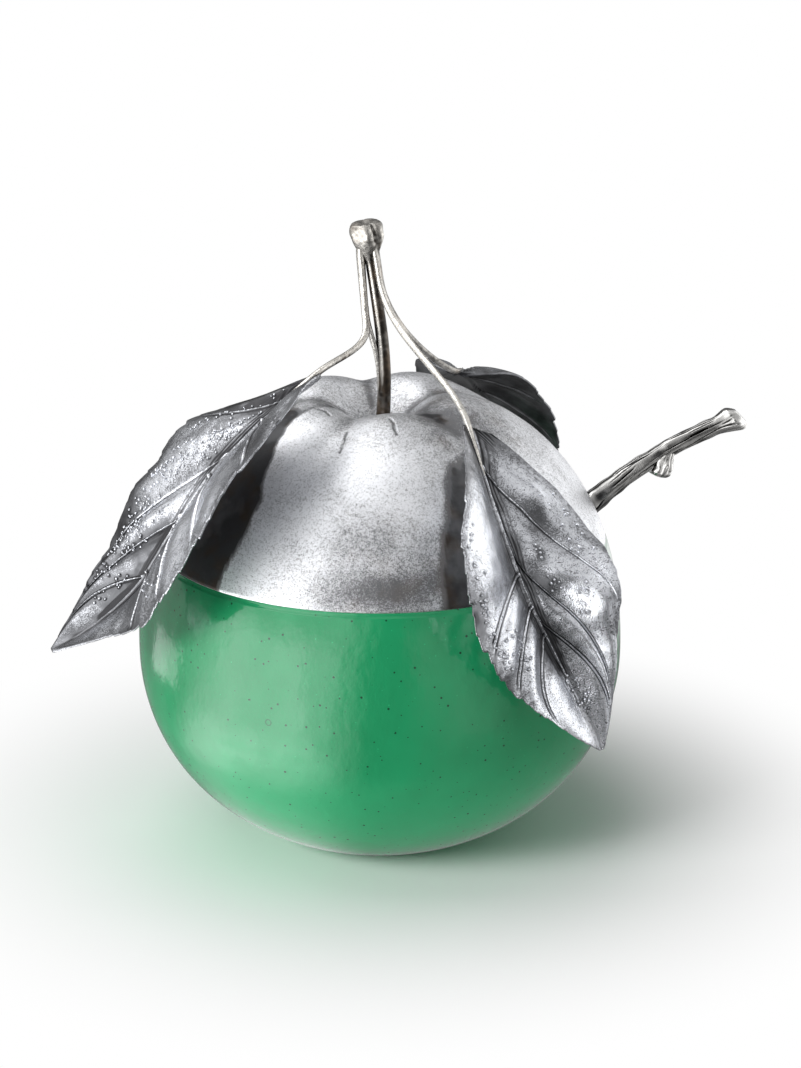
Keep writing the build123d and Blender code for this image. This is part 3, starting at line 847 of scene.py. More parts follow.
@dataclass(frozen=True)
class LeafForm:
    """One leaf: spine as (reach past the body, direction, height over the crown), section, veins and stem."""

    name: str
    spine: tuple
    twist: tuple  # degrees at the base and the tip
    half_width: tuple  # for v below and above 0
    fold: tuple  # slope of the two halves
    curl: float  # droop of the margins, per millimetre
    powers: tuple  # fullness of the base and the tip
    teeth: int
    neck: tuple  # share by which the base is narrowed, for v below and above 0
    shoulder: float  # share by which the blade is wider after the base, for v above 0
    tooth_depth: tuple  # for v below and above 0
    wave: tuple  # waves of the margin, in millimetres
    tarnish: tuple  # general darkness of the upper and the lower skin
    margin: tuple  # darkness of the margins
    ends: tuple  # more darkness near the base and the tip
    tarnish_and_light_patches: tuple
    veins: tuple  # side veins
    beads: tuple
    bead: float  # radius of a bead
    attach: float  # where the stem meets the stalk, in millimetres below its top
    fork: float  # where it leaves the stalk
    side: float  # direction of the stalk's side that it lies on
    drop: float  # lengths of its bend's first and last part
    arrive: float
    thick: float  # radius at the stalk
    part: float  # how far it stands off at the fork, with a second wire if it does
    seed: int


@dataclass
class ChasedLeaf:
    """Chased silver leaf: folded blade with veins, beads and a toothed margin, and its wire stem."""

    form: FruitForm
    leaf: LeafForm
    stalk: "FruitStalk"
    thickness: float = 0.9
    core: float = 5.0  # the blade faces away from a point this far over the widest circle
    crease: float = 1.0  # radius of the fold at the midrib
    pillow: float = 0.9  # height of the swells between veins
    rows: int = 340
    columns: int = 191
    lower_columns: int = 55
    vein_height: float = 0.3
    vein_width: float = 0.26
    stem_radius: float = 0.65
    stem_tip: float = 0.3
    stem_seat: float = 0.25  # how deep the wire is let into the blade
    stem_end: float = 0.12  # share of the spine that the wire lies on
    stem_tuck: float = 2.6  # where the wire begins, in millimetres below the stalk's top
    lit_side: tuple = (-0.55, -0.6, 0.58)  # a wire is painted darker on its side away from this, as painted shade
    neck_reach: float = 0.11  # share of the spine that the narrowed base takes
    shoulder_at: tuple = (0.22, 0.09)  # middle and reach of the wider part
    tooth_drift: float = 0.23  # unevenness of the teeth
    fine_teeth: float = 2.6  # small teeth to each large one
    inside: tuple = (0.004, 0.996)  # part of the spine that the grid covers
    thinning: float = 0.45  # share by which the sheet is thinner at its margin
    rib_height: float = 0.4
    rib_lines: tuple = ((2.0, 1.0), (3.6, 0.8), (5.2, 0.6))  # place in rib widths, and depth
    line_widths: tuple = (0.15, 0.17)  # of engraved lines beside the side veins and the midrib
    line_depths: tuple = (0.16, 0.2)
    line_dark: tuple = (0.9, 0.8)
    pit: tuple = (1.2, 0.13)  # engraved ring round a bead: place in bead radii, and width
    pit_depth: float = 0.06
    pit_dark: float = 0.35
    mark_sizes: tuple = (6.0, 1.8)  # broad and small hammer marks
    marks: tuple = (0.22, 0.07)  # their heights
    rubbed: tuple = (0.5, 0.75, 0.35)  # tarnish rubbed off swells, side veins and the midrib
    rib_side: float = 0.24  # tarnish left beside the midrib
    clouds: tuple = (0.3, 0.14, 0.22)  # tarnish in clouds, in small marks and in rays from the midrib
    bead_rise: float = 0.05
    bead_sizes: tuple = (0.7, 1.2)  # range of the draw
    ball_rise: tuple = (-45.0, 15.0, 55.0)  # rows of a bead's ball, in degrees
    ball_columns: int = 8
    ball_ends: tuple = (-0.8, 1.0)
    wire_columns: int = 24
    groove: float = 0.06  # depth of a wire's grooves, as a share of its radius

    def spine(self, u: Array) -> Array:
        """Bezier line from the blade's base to its tip."""
        reach, degrees, height = np.array(self.leaf.spine).T
        return bezier(polar(self.form.radius + reach, degrees, self.form.crown_height + height), u)

    def frames(self, u: Array) -> tuple[Array, Array, Array, Array]:
        """Spine point, direction ahead, direction across and direction out, turned by the twist."""
        step = 1e-4
        middle = self.spine(u)
        ahead = unit(self.spine(np.minimum(u + step, 1)) - self.spine(np.maximum(u - step, 0)))
        across = unit(np.cross(ahead, middle - np.array([0, 0, self.form.equator + self.core])))
        out = np.cross(across, ahead)
        turn = np.radians(mix(*self.leaf.twist, u))[..., None]
        return middle, ahead, across * np.cos(turn) + out * np.sin(turn), out * np.cos(turn) - across * np.sin(turn)

    def length(self) -> float:
        """Length of the spine."""
        return float(np.linalg.norm(np.diff(self.spine(np.linspace(0, 1, 200)), axis=0), axis=1).sum())

    def half_share(self, u: Array, v: Array) -> Array:
        """Half width as a share of the widest: u^a (1 - u)^b, with teeth that grow towards the margin."""
        leaf = self.leaf
        base, tip = leaf.powers
        widest = base / (base + tip)
        plain = (u / widest) ** base * ((1 - u) / (1 - widest)) ** tip
        plain = plain * (1 - halves(v, leaf.neck) * bump(u, self.neck_reach))
        plain = plain * (1 + halves(v, (0, leaf.shoulder)) * bump(u - self.shoulder_at[0], self.shoulder_at[1]))
        drift = self.tooth_drift * np.sin(9.0 * u + leaf.seed)
        saw = (u * leaf.teeth + drift) % 1
        fine = (u * leaf.teeth * self.fine_teeth + 2 * drift) % 1
        tooth = (np.sqrt(saw) - 0.67) + 0.4 * (fine - 0.5)
        return plain * (1 + halves(v, leaf.tooth_depth) * tooth * np.minimum(1, 6 * u) * np.abs(v) ** 8)

    def layout(self) -> tuple[Array, Array, Array, Array]:
        """Grid whose rows run along the side veins.

        Rows are numbered by q, the place where they leave the midrib. Between two veins a row keeps its
        share of the way, so that u(q, v) = q on the midrib and every vein is a row.

        Returns:
            u, v, the share of the way between two veins, and the distance to the nearest vein in mm.
        """
        length = self.length()
        starts = np.array([vein.start for side in self.leaf.veins for vein in side])
        fine = np.linspace(0, 1, 2000)
        density = 1 + 2.2 * bump((fine[:, None] - starts) * length, 0.9).max(axis=1)
        q = np.interp(np.linspace(0, 1, self.rows), np.cumsum(density) / density.sum(), fine)
        q = mix(*self.inside, (q - q[0]) / (q[-1] - q[0]))
        x = np.linspace(-1, 1, self.columns)
        v = np.sign(x) * np.abs(x) ** 1.15
        u = np.empty((self.rows, self.columns))
        way = np.empty_like(u)
        gap = np.empty_like(u)
        for side, chosen in enumerate((v < 0, v >= 0)):
            veins = self.leaf.veins[side]
            knots = np.array([0.0, *[vein.start for vein in veins], 1.0])
            away = np.abs(v[chosen])
            lines = [np.zeros_like(away)]
            lines += [np.minimum(vein.start + vein.reach * away**vein.power, 0.985) for vein in veins]
            lines = np.stack([*lines, np.ones_like(away)])
            i = np.clip(np.searchsorted(knots, q, side="right") - 1, 0, len(knots) - 2)
            t = ((q - knots[i]) / (knots[i + 1] - knots[i]))[:, None]
            low, high = lines[i], lines[i + 1]
            u[:, chosen] = low * (1 - t) + high * t
            way[:, chosen] = t
            below = np.where((i > 0)[:, None], t * (high - low), FAR)
            above = np.where((i < len(knots) - 2)[:, None], (1 - t) * (high - low), FAR)
            gap[:, chosen] = np.minimum(below, above) * length * 0.75
        v = np.broadcast_to(v, u.shape)
        return np.clip(u, *self.inside), v, way, gap

    def surface(self, u: Array, v: Array, lift: Array) -> Array:
        """Blade: spine + across lateral + out (fold (sqrt(lateral^2 + c^2) - c) - curl lateral^2 + lift)."""
        middle, _, across, out = self.frames(u)
        leaf = self.leaf
        lateral = v * halves(v, leaf.half_width) * self.half_share(u, v)
        rise = halves(v, leaf.fold) * (np.sqrt(lateral**2 + self.crease**2) - self.crease) - leaf.curl * lateral**2
        return middle + across * lateral[..., None] + out * (rise + lift)[..., None]

    def bead_places(self) -> Array:
        """Places (u, v) of the beads, spread by a fixed random draw inside each patch."""
        draw = np.random.default_rng(self.leaf.seed)
        found = []
        for patch in self.leaf.beads:
            a, b = draw.uniform(-1, 1, (2, patch.count))
            v = patch.v + patch.spread_v * b
            u = patch.u + patch.spread_u * a + patch.turn * (np.abs(v) - abs(patch.v))
            found.append(np.stack([u, v], -1))
        places = np.concatenate(found)
        return places[(np.abs(places[:, 1]) < 0.88) & (places[:, 0] > 0.05) & (places[:, 0] < 0.97)]

    def half_thickness(self, v: Array) -> Array:
        """Half the sheet's thickness, less towards the margin."""
        return 0.5 * self.thickness * (1 - self.thinning * np.abs(v) ** 3)

    def bead_pits(self, flat: Array) -> tuple[Array, Array]:
        """Engraved rings round the beads.

        Args:
            flat: the blade's grid without its chasing.
        Returns:
            Depth of the rings from 0 to 1, and the number of the grid point nearest to each bead.
        """
        u, v = self.bead_places().T
        middles = self.surface(u, v, np.zeros(len(u)))
        near, nearest = np.full(flat.size // 3, FAR), []
        for chunk in np.array_split(middles, max(1, len(middles) // 40)):
            apart = ((flat.reshape(-1, 1, 3) - chunk[None]) ** 2).sum(-1)
            near = np.minimum(near, np.sqrt(apart.min(axis=1)))
            nearest.append(apart.argmin(axis=0))
        place_in_radii, width = self.pit
        near = near.reshape(flat.shape[:-1])
        return bump(near - place_in_radii * self.leaf.bead, width), np.concatenate(nearest)

    def relief(self, u: Array, v: Array, way: Array, gap: Array) -> tuple[Array, Array, Array]:
        """Height of the chasing, its darkening, and height at each bead.

        The sheet swells between veins; a vein is a thin ridge between two engraved lines. The midrib is a
        ridge in a bundle of engraved lines. The margin waves with its teeth, small hammer marks cover all,
        and tarnish is left in lines, beside the midrib, at the margin and in clouds, and rubbed off the swells.
        Patches add tarnish and painted shade, and painted highlights where their depth is below 0.
        """
        leaf = self.leaf
        away = np.abs(v)
        lateral = away * halves(v, leaf.half_width) * self.half_share(u, v * 0)
        flat = self.surface(u, v, np.zeros_like(u))
        crest = np.sin(np.pi * way) ** 2 * 4 * away * (1 - away)
        swell = self.pillow * crest * np.minimum(1, 5 * (1 - u))
        fade = smooth(1 - away, 0.02, 0.25) * smooth(1 - u, 0.0, 0.1) * smooth(u, 0.02, 0.1)
        ridge = self.vein_height * bump(gap, self.vein_width) * fade
        lines = bump(gap - 1.9 * self.vein_width, self.line_widths[0]) * fade
        spread = self.vein_width * (1.7 - 1.0 * u)
        end = smooth(1 - u, 0.02, 0.25)
        rib = self.rib_height * bump(lateral, spread) * end
        weave = lateral + 0.25 * noise(np.stack([u * 60.0, v * 0.0, v * 0.0], -1), 4.0, leaf.seed + 4)
        rib_lines = sum(part * bump(weave - k * spread, self.line_widths[1]) for k, part in self.rib_lines) * end
        wave = halves(v, leaf.wave) * np.sin(2 * np.pi * (0.5 * leaf.teeth * u + 0.2 * leaf.seed))
        wave = wave * away**3 * smooth(1 - u, 0.0, 0.2)
        broad, small = (noise(flat, size, leaf.seed + k) for k, size in enumerate(self.mark_sizes))
        pit, at_beads = self.bead_pits(flat)
        raised = sum(stain.lift * stain.share(u, v) for stain in leaf.tarnish_and_light_patches)
        height = swell + ridge + rib + wave + raised + self.marks[0] * broad + self.marks[1] * small
        height = height - self.line_depths[0] * lines - self.line_depths[1] * rib_lines - self.pit_depth * pit
        rays = noise(np.stack([way * 9.0, lateral * 0.16, v * 0.0 + np.sign(v)], -1), 0.8, leaf.seed + 2)
        beside = smooth(-lateral, -6.5, -0.5) * end
        border = halves(v, leaf.margin) * smooth(away, 0.7, 1.0)
        off_swells, off_veins, off_rib = self.rubbed
        darkening = leaf.tarnish[0] - off_swells * crest * (1 + 0.5 * broad) + border + self.rib_side * beside
        # patches of tarnish and painted shade, and painted highlights where the depth is below 0
        for stain in leaf.tarnish_and_light_patches:
            darkening = darkening + stain.depth * stain.share(u, v) * (1 + 0.5 * small)
        darkening = darkening + leaf.ends[0] * smooth(-u, -0.3, -0.05) + leaf.ends[1] * smooth(u, 0.45, 0.8)
        cloud, in_marks, in_rays = self.clouds
        darkening = darkening + cloud * noise(flat, 9.0, leaf.seed + 3) + in_marks * small + in_rays * rays
        darkening = np.clip(darkening, 0, 0.92) - off_veins * bump(gap, 0.8 * self.vein_width) * fade
        darkening = np.clip(darkening - off_rib * bump(lateral, spread) * end, 0, 1)
        darkening = darkening + self.line_dark[0] * lines + self.line_dark[1] * rib_lines + self.pit_dark * pit
        return height, darkening, height.ravel()[at_beads]

    def build_blade(self, finish: Material) -> Array:
        """Closes the chased upper skin with a coarser, dark lower skin and a thin margin.

        Args:
            finish: the material.
        Returns:
            Height of the chasing at each bead.
        """
        u, v, way, gap = self.layout()
        height, darkening, at_beads = self.relief(u, v, way, gap)
        half = self.half_thickness(v)
        upper = self.surface(u, v, height + half)
        kept = np.unique(np.linspace(0, self.columns - 1, self.lower_columns).astype(int))
        lower = self.surface(u, v, 0.8 * height - half)[:, kept[::-1]]
        around = np.concatenate([upper, lower], axis=1)
        under = self.leaf.tarnish[1] + 0.1 * noise(lower, 5.0, self.leaf.seed + 5)
        under = under - 0.5 * smooth(noise(lower, 8.0, 77), 0.45, 0.8)
        shade = np.concatenate([darkening, under], axis=1)
        ends = [np.broadcast_to(around[k].mean(axis=0), around[:1].shape) for k in (0, -1)]
        points = np.concatenate([ends[0], around, ends[1]])
        shade = np.concatenate([shade[:1], shade, shade[-1:]])
        piece = grid_piece(f"{self.leaf.name}_chased_blade", points, shade)
        place(piece, Body.LID, Slot.LEAF_SILVER, finish, f"{self.leaf.name}_blade")
        return at_beads

    def build_beads(self, finish: Material, height: Array) -> None:
        """Low balls half sunk in the upper skin, turned to the blade at each place.

        Args:
            finish: the material.
            height: height of the chasing at each bead.
        """
        u, v = self.bead_places().T
        step = 2e-3
        lift = height + self.half_thickness(v) + self.bead_rise
        middle = self.surface(u, v, lift)
        ahead = unit(self.surface(u + step, v, lift) - middle)
        out = unit(np.cross(self.surface(u, v + step, lift) - middle, ahead))
        across = np.cross(out, ahead)
        draw = np.random.default_rng(self.leaf.seed + 50)
        size = self.leaf.bead * draw.uniform(*self.bead_sizes, len(u))
        rise = np.radians(self.ball_rise)
        turn = full_turn(self.ball_columns)
        ball = ring(np.cos(rise)[:, None], turn, np.sin(rise)[:, None]).reshape(-1, 3)
        ball = np.concatenate([ball, [[0, 0, end] for end in self.ball_ends]])
        frames = np.stack([ahead, across, out], 1) * size[:, None, None]
        points = (middle[:, None] + ball @ frames).reshape(-1, 3)
        quads = grid_faces(len(rise), len(turn))
        first = np.arange(len(turn))
        after, last = np.roll(first, -1), len(turn) * (len(rise) - 1)
        low, top = np.full(len(turn), len(ball) - 2), np.full(len(turn), len(ball) - 1)
        caps = [np.stack([first + last, after + last, top], -1), np.stack([after, first, low], -1)]
        triangles = np.concatenate([quads[:, [0, 3, 2]], quads[:, [0, 2, 1]], *caps])
        faces = (triangles[None] + (np.arange(len(u)) * len(ball))[:, None, None]).reshape(-1, 3)
        piece = mesh_piece(f"{self.leaf.name}_beads", points, faces)
        place(piece, Body.LID, Slot.LEAF_SILVER, finish)

    def build_stem(self, finish: Material) -> None:
        """Wire stem: out of the stalk's head, across to the leaf as a Bezier curve, and out along the midrib."""
        leaf = self.leaf
        seat = 0.5 * self.thickness + self.stem_radius - self.stem_seat
        base, ahead, _, out = (part[0] for part in self.frames(np.zeros(1)))
        end = base + out * seat
        beside = 0.95 * (self.stalk.waist + leaf.thick)
        shares = 1 - np.array([self.stem_tuck, leaf.attach, leaf.fork]) / self.stalk.height
        reach = np.array([0.6 * beside, beside, beside + leaf.part])
        tucked, top, fork = self.stalk.middle(shares) + polar(reach, leaf.side, 0.0)
        down = unit(fork - top)
        t = np.linspace(0, 1, 60)
        straight = np.concatenate([mix(tucked, top, t[:, None]), mix(top, fork, t[1:, None])])
        bend = bezier(np.array([fork, fork + down * leaf.drop, end - ahead * leaf.arrive, end]), t)
        middle, _, _, out_here = self.frames(self.stem_end * t)
        lying = middle + out_here * (seat - (self.stem_radius - self.stem_tip) * t)[:, None]
        path = soften(even_path(np.concatenate([straight, bend[1:], lying[1:]]), 220), 9)
        along = np.linspace(0, 1, len(path))
        thin = np.interp(along, [0, 0.5, 0.8, 1], [leaf.thick, self.stem_radius, self.stem_radius, self.stem_tip])
        self.lay_wire(f"{leaf.name}_wire_stem", path, thin, finish, f"{leaf.name}_petiole")
        if leaf.part:
            foot = self.stalk.middle(np.array([0.42, 0.3, 0.12])) + polar(0.9 * self.stalk.waist, leaf.side, 0.0)
            leg = bezier(np.array([mix(top, fork, 0.75), fork + down * 2.0, *foot]), t)
            self.lay_wire(f"{leaf.name}_stem_leg", even_path(leg, 120), np.linspace(0.75, 0.3, 120), finish)

    def lay_wire(self, name: str, path: Array, thin: Array, finish: Material, *nodes: str) -> None:
        """Round wire of this radius along a path, with three shallow grooves.

        Args:
            name: the piece's name.
            path: middle line.
            thin: radius at each point of the path.
            finish: the material.
            nodes: nodes of the frame that it replaces.
        """
        along = np.linspace(0, 1, len(path))
        angle = full_turn(self.wire_columns)
        grooves = 1 - self.groove * np.cos(3 * angle[None] + 8 * along[:, None])
        points = tube(path, polar(1.0, self.leaf.side + 90.0, 0.0), thin[:, None] * grooves)
        darkening = noises(points, (0.14, 3.0, self.leaf.seed + 7), (0.2, 0.6, self.leaf.seed + 8))
        away = points - points.mean(axis=1, keepdims=True)
        away = away / np.maximum(np.linalg.norm(away, axis=-1, keepdims=True), 1e-6)
        foot, top = self.stalk.foot[2], self.stalk.foot[2] + self.stalk.height
        near = smooth(5.0 - cylinder(points)[0], 0.0, 1.0)
        # painted shade: darker on the side of the wire that faces away from the lit side
        darkening = darkening + 0.85 * smooth(-(away @ unit(np.array(self.lit_side))), -0.75, 0.15)
        darkening = darkening + 0.75 * near * smooth(foot + 13.0 - points[..., 2], 0.0, 7.0)
        darkening = darkening + 0.35 * smooth(points[..., 2], top - 7.0, top - 4.5)
        place(grid_piece(name, points, darkening), Body.LID, Slot.STEM_SILVER, finish, *nodes)


@dataclass
class FruitStalk:
    """Bent stalk with a lumpy, cup-shaped cut end."""

    foot: tuple
    height: float = 42.4
    lean: float = 3.4  # how far the top leans to -X
    bow: float = 0.9  # how far the middle bows to +X
    radius: float = 1.45
    waist: float = 1.15
    head_radius: float = 3.2
    head_length: float = 8.4
    crown: float = 0.25  # rise of the cut end's rounded top
    cup_steps: tuple = (0.93, 0.8, 0.62, 0.4, 0.2, 0.0)  # rows of the cut end, as shares of its rim
    cup_top: float = 2.0  # millimetres below the cut at which the cup is full
    cup_power: float = 0.75
    lip: tuple = (0.14, 0.9)  # share by which the lip is drawn in, and over which height
    lumps: tuple = ((0.05, 2, 0.6), (0.04, 5, -1.0))  # height, count and turn
    rough: tuple = ((0.05, 1.6, 33), (0.02, 0.6, 34))
    mottle: tuple = ((1.0, 2.2, 31), (1.3, 0.6, 32))
    cleft_turn: float = 2.0  # direction of the cleft, in radians
    cleft_twist: float = 0.05  # radians per millimetre below the cut
    cleft_depth: float = 0.26
    highlight_turn: float = 1.05  # direction of a painted highlight, a bright strip down the stalk
    highlight_bright: float = 0.82
    creams: tuple = ((0.9, 0.75, 2.6, 2.4), (2.7, 0.35, 2.4, 1.4))  # pale parts: direction, width, depth, spread
    rows: int = 180
    columns: int = 72

    def middle(self, share: Array) -> Array:
        """Middle line: it bows one way and leans the other."""
        drift = self.bow * np.sin(np.pi * share**0.7) ** 2 - self.lean * share**1.5
        return np.array(self.foot) + np.stack([drift, 0 * share, self.height * share], -1)

    def build(self, finish: Material) -> None:
        """Bar with a slow taper and a cup that narrows downwards, with a rounded lip and a cleft in front."""
        share = np.concatenate([np.linspace(-0.02, 0.8, self.rows // 2), np.linspace(0.8, 1, self.rows)[1:]])
        path = self.middle(np.maximum(share, 0))
        path[:, 2] += np.minimum(share, 0) * self.height
        below = (1 - share) * self.height
        cup = smooth(-below, -self.head_length, -self.cup_top) ** self.cup_power
        lip = 1 - self.lip[0] * np.clip(1 - below / self.lip[1], 0, 1) ** 2
        plain = mix(self.radius, self.waist, np.minimum(1, 1.4 * np.maximum(share, 0)))
        base = mix(plain, self.head_radius, cup) * lip
        angle = full_turn(self.columns)[None]
        down = below[:, None]
        lumps = sum(size * np.cos(count * angle + turn) for size, count, turn in self.lumps)
        cleft = bump(wrapped(angle - self.cleft_turn, self.cleft_twist * down), 0.2) * smooth(-down, -7.0, -1.0)
        rough = noises(ring(3.0, angle, down), *self.rough)
        radius = base[:, None] * (1 + cup[:, None] * (lumps - self.cleft_depth * cleft + rough))
        points = tube(path, ALONG_Y, radius)
        rim = points[-CAP_ROWS - 1]
        parts = np.array(self.cup_steps)[:, None, None]
        inner = path[-1] + (rim - path[-1]) * parts
        inner[..., 2] += self.crown * (1 - parts[..., 0] ** 2.2) - 0.5 * bump(parts[..., 0], 0.35)
        inner[:-1, :, 2] += 0.16 * noise(inner[:-1], 1.1, 36)
        points = np.concatenate([points[:-CAP_ROWS], inner])
        # painted highlight: a bright strip down one side of the stalk, below the head
        painted_highlight = bump(wrapped(angle, self.highlight_turn), 0.24) * smooth(-down, -36.0, -29.0) * (1 - cup[:, None])
        cream = sum(bump(wrapped(angle, turn), wide) * bump(down - deep, tall)
                    for turn, wide, deep, tall in self.creams)
        dark = 1.0 - self.highlight_bright * painted_highlight - 0.5 * cup[:, None] - 0.15 * cream + 0.5 * cleft
        dark = np.concatenate([with_caps(dark)[:-CAP_ROWS], np.full((len(inner), self.columns), 0.5)])
        head = smooth(points[..., 2], path[-1, 2] - self.head_length, path[-1, 2] - 3.0)
        darkening = dark + (0.06 + 0.2 * head) * noises(points, *self.mottle)
        place(grid_piece("bent_fruit_stalk", points, darkening), Body.LID, Slot.STEM_SILVER, finish, "fruit_stalk")


@dataclass(frozen=True)
class Furrows:
    """One set of the bark's furrows."""

    sharp: float  # how thin a furrow is
    count: float  # half the number round the twig
    waver: tuple  # height and size of the noise that bends them
    stretch: float  # how much shorter along the twig the noise is that breaks them
    gap_size: float  # size of that noise
    gap: tuple  # its values at which a furrow begins and is full

    def depth(self, turn: Array, spots: Array, seed: int) -> Array:
        """Depth from 0 to 1: 1 - sharp |sin(count a + waver)| where that is above 0, broken up by noise."""
        bend = noises(spots, (*self.waver, seed))
        lines = np.maximum(1 - self.sharp * np.abs(np.sin(self.count * turn + bend)), 0)
        return lines * smooth(noise(spots * np.array([1, 1, self.stretch]), self.gap_size, seed + 1), *self.gap)


@dataclass
class TwigHandle:
    """Cast twig with ridged bark, a cut side shoot and a leaning cut end."""

    start: tuple
    slope: float = 40.5  # degrees where the twig leaves the lid
    end_slope: float = 18.0
    length: float = 36.2
    tuck: float = 9.0  # length inside the pot
    heel: float = 2.4  # radius at the lower end
    waist: float = 1.7
    taper: float = 20.0  # length over which it thins
    end_radius: float = 2.85
    flare: float = 6.5  # length of the wider end
    cut: float = 26.0  # slant of the cut end, in degrees
    ridges: int = 5
    bark: float = 0.16  # height of the ridges, as a share of the radius
    twist: float = 0.025
    shoot_place: float = 19.6
    shoot_reach: float = 6.0
    shoot_radius: float = 2.1
    shoot_aim: tuple = (-0.42, -0.1, -1.0)
    shoot_rows: int = 90
    shoot_columns: int = 72
    deep: Furrows = Furrows(3.2, 3.5, (1.4, 1.0), 1.6, 1.1, (-0.35, 0.2))
    fine: Furrows = Furrows(2.0, 6.5, (2.0, 0.8), 2.2, 0.9, (-0.2, 0.3))
    furrow: float = 0.32  # depth of the bark's furrows, as a share of the radius
    lump: float = 0.12
    collar: float = 0.3  # swelling where the twig leaves the lid
    collar_turn: float = 0.4  # its direction, in radians
    rows: int = 340
    columns: int = 120

    def middle(self, s: Array) -> Array:
        """Middle line at a distance s from the bend's start: straight inside the pot, an arc outside."""
        slope = np.radians(self.slope)
        bend = self.length / np.radians(self.slope - self.end_slope)
        turn = slope - np.maximum(s, 0) / bend
        arc = np.stack([np.sin(slope) - np.sin(turn), 0 * s, np.cos(turn) - np.cos(slope)], -1) * bend
        back = np.minimum(s, 0)[:, None] * np.array([np.cos(slope), 0, np.sin(slope)])
        return np.array(self.start) + arc + back

    def furrows(self, along: Array, angle: Array, seed: int) -> Array:
        """Bark: the sum of deep and fine furrows at these lengths and angles."""
        turn = angle + self.twist * along
        spots = ring(1.6, turn, along / 8.0)
        deep = self.deep.depth(turn, spots, seed)
        return np.clip(deep + 0.8 * self.fine.depth(turn, spots, seed + 2), 0, 1.2)

    def build(self, finish: Material) -> None:
        """Bar whose radius falls off from the heel, with broad ridges and sharp furrows along it."""
        s = np.linspace(-self.tuck, self.length, self.rows)
        path = self.middle(s)
        plain = mix(self.waist, self.heel, np.exp(-(s + self.tuck) / self.taper))
        end = smooth(s, self.length - self.flare, self.length)
        base = mix(plain, self.end_radius, end)[:, None]
        angle = full_turn(self.columns)[None]
        along = s[:, None]
        broad = np.cos(0.5 * (self.ridges * angle + self.twist * along)) ** 2
        furrow = self.furrows(along, angle, 41) * (1 - 0.9 * smooth(along, self.length - 3.0, self.length - 0.8))
        lumps = noise(ring(2.0, angle, along), 2.2, 43)
        nose = 1 - 0.4 * np.clip(1 - (self.length - along) / 2.0, 0, 1) ** 2
        collar = bump(along - 0.8, 1.1) * bump(wrapped(angle, self.collar_turn), 0.9)
        share = 1.08 - 0.5 * self.bark * broad - self.furrow * furrow + self.lump * lumps
        radius = base * (share + self.collar * collar * (1 + 1.2 * lumps)) * nose
        points = tube(path, ALONG_Y, radius)
        ahead = unit(np.gradient(path, axis=0))[-1]
        above = np.cross(ahead, ALONG_Y)
        lean = with_caps(end**2) * np.tan(np.radians(self.cut))
        rise = (points - with_caps(path)[:, None]) @ above
        points = points - (rise * lean[:, None])[..., None] * ahead
        dark = 0.46 + 1.5 * furrow + 0.3 * broad - 0.15 * lumps - 0.4 * end[:, None] - 0.3 * collar
        darkening = with_caps(dark)
        darkening[-CAP_ROWS - 2:] = 0.12 + 0.1 * noise(points[-CAP_ROWS - 2:], 1.2, 44)
        piece = grid_piece("bark_twig_handle", points, darkening)
        place(piece, Body.SPOON, Slot.TWIG_SILVER, finish, "spoon_twig_handle")
        self.build_shoot(finish)

    def build_shoot(self, finish: Material) -> None:
        """Short side shoot, cut off, with a faceted end: its radius swells and then closes in facets."""
        root = self.middle(np.array([self.shoot_place]))[0]
        t = np.linspace(0, 1, self.shoot_rows)
        path = root + np.outer(t, unit(np.array(self.shoot_aim)) * self.shoot_reach)
        plain = self.shoot_radius * (0.85 + 0.3 * t) * np.interp(t, [0, 0.86, 0.95, 1], [1, 1, 0.82, 0.45])
        angle = full_turn(self.shoot_columns)[None]
        facets = np.abs(np.cos(2.5 * angle - 1.93))
        facets = mix(0.6, facets, smooth(t, 0.25, 0.7)[:, None])
        along = t[:, None] * self.shoot_reach
        furrow = self.furrows(along, angle, 47)
        lumps = noise(ring(2.0, angle, along), 1.5, 48) * smooth(t, 0.2, 0.7)[:, None]
        radius = plain[:, None] * (0.95 + 0.4 * (facets - 0.5) - 0.2 * furrow + 0.3 * lumps)
        points = tube(path, ALONG_Y, radius)
        dark = 0.15 + 0.9 * furrow + 0.9 * smooth(-facets, -0.45, 0.0) * smooth(t, 0.3, 0.8)[:, None] - 0.9 * lumps
        place(grid_piece("twig_side_shoot", points, with_caps(dark)), Body.SPOON, Slot.TWIG_SILVER, finish)


@dataclass(frozen=True)
class PhotoCamera:
    """Camera at the photograph's angle: the fruit's axis at its widest circle lands on a known pixel."""

    azimuth: float = -8.0
    elevation: float = 21.0
    distance: float = 700.0
    focal: float = 3360.0  # pixels
    axis_pixel: tuple = (379.5, 637.0)
    frame: tuple = (801, 1068)
    sensor: float = 36.0

    def build(self, target: Vector) -> None:
        """Makes the camera, turned so that the target lands on its pixel."""
        data = bpy.data.cameras.new("photo_camera")
        data.sensor_width = self.sensor
        data.lens = self.focal / max(self.frame) * self.sensor
        camera = add_object("photo_camera", data)
        a, e = np.radians(self.azimuth), np.radians(self.elevation)
        back = Vector((np.sin(a) * np.cos(e), -np.cos(a) * np.cos(e), np.sin(e)))
        right = Vector((np.cos(a), np.sin(a), 0))
        up = back.cross(right)
        dx = (self.frame[0] / 2 - self.axis_pixel[0]) / self.focal
        dy = (self.axis_pixel[1] - self.frame[1] / 2) / self.focal
        aim = (right * dx + up * dy - back).normalized()
        side = aim.cross(Vector((0, 0, 1))).normalized()
        turn = Matrix((side, side.cross(aim), -aim)).transposed()
        camera.matrix_world = Matrix.Translation(target + back * self.distance * MM) @ turn.to_4x4()
        bpy.context.scene.camera = camera


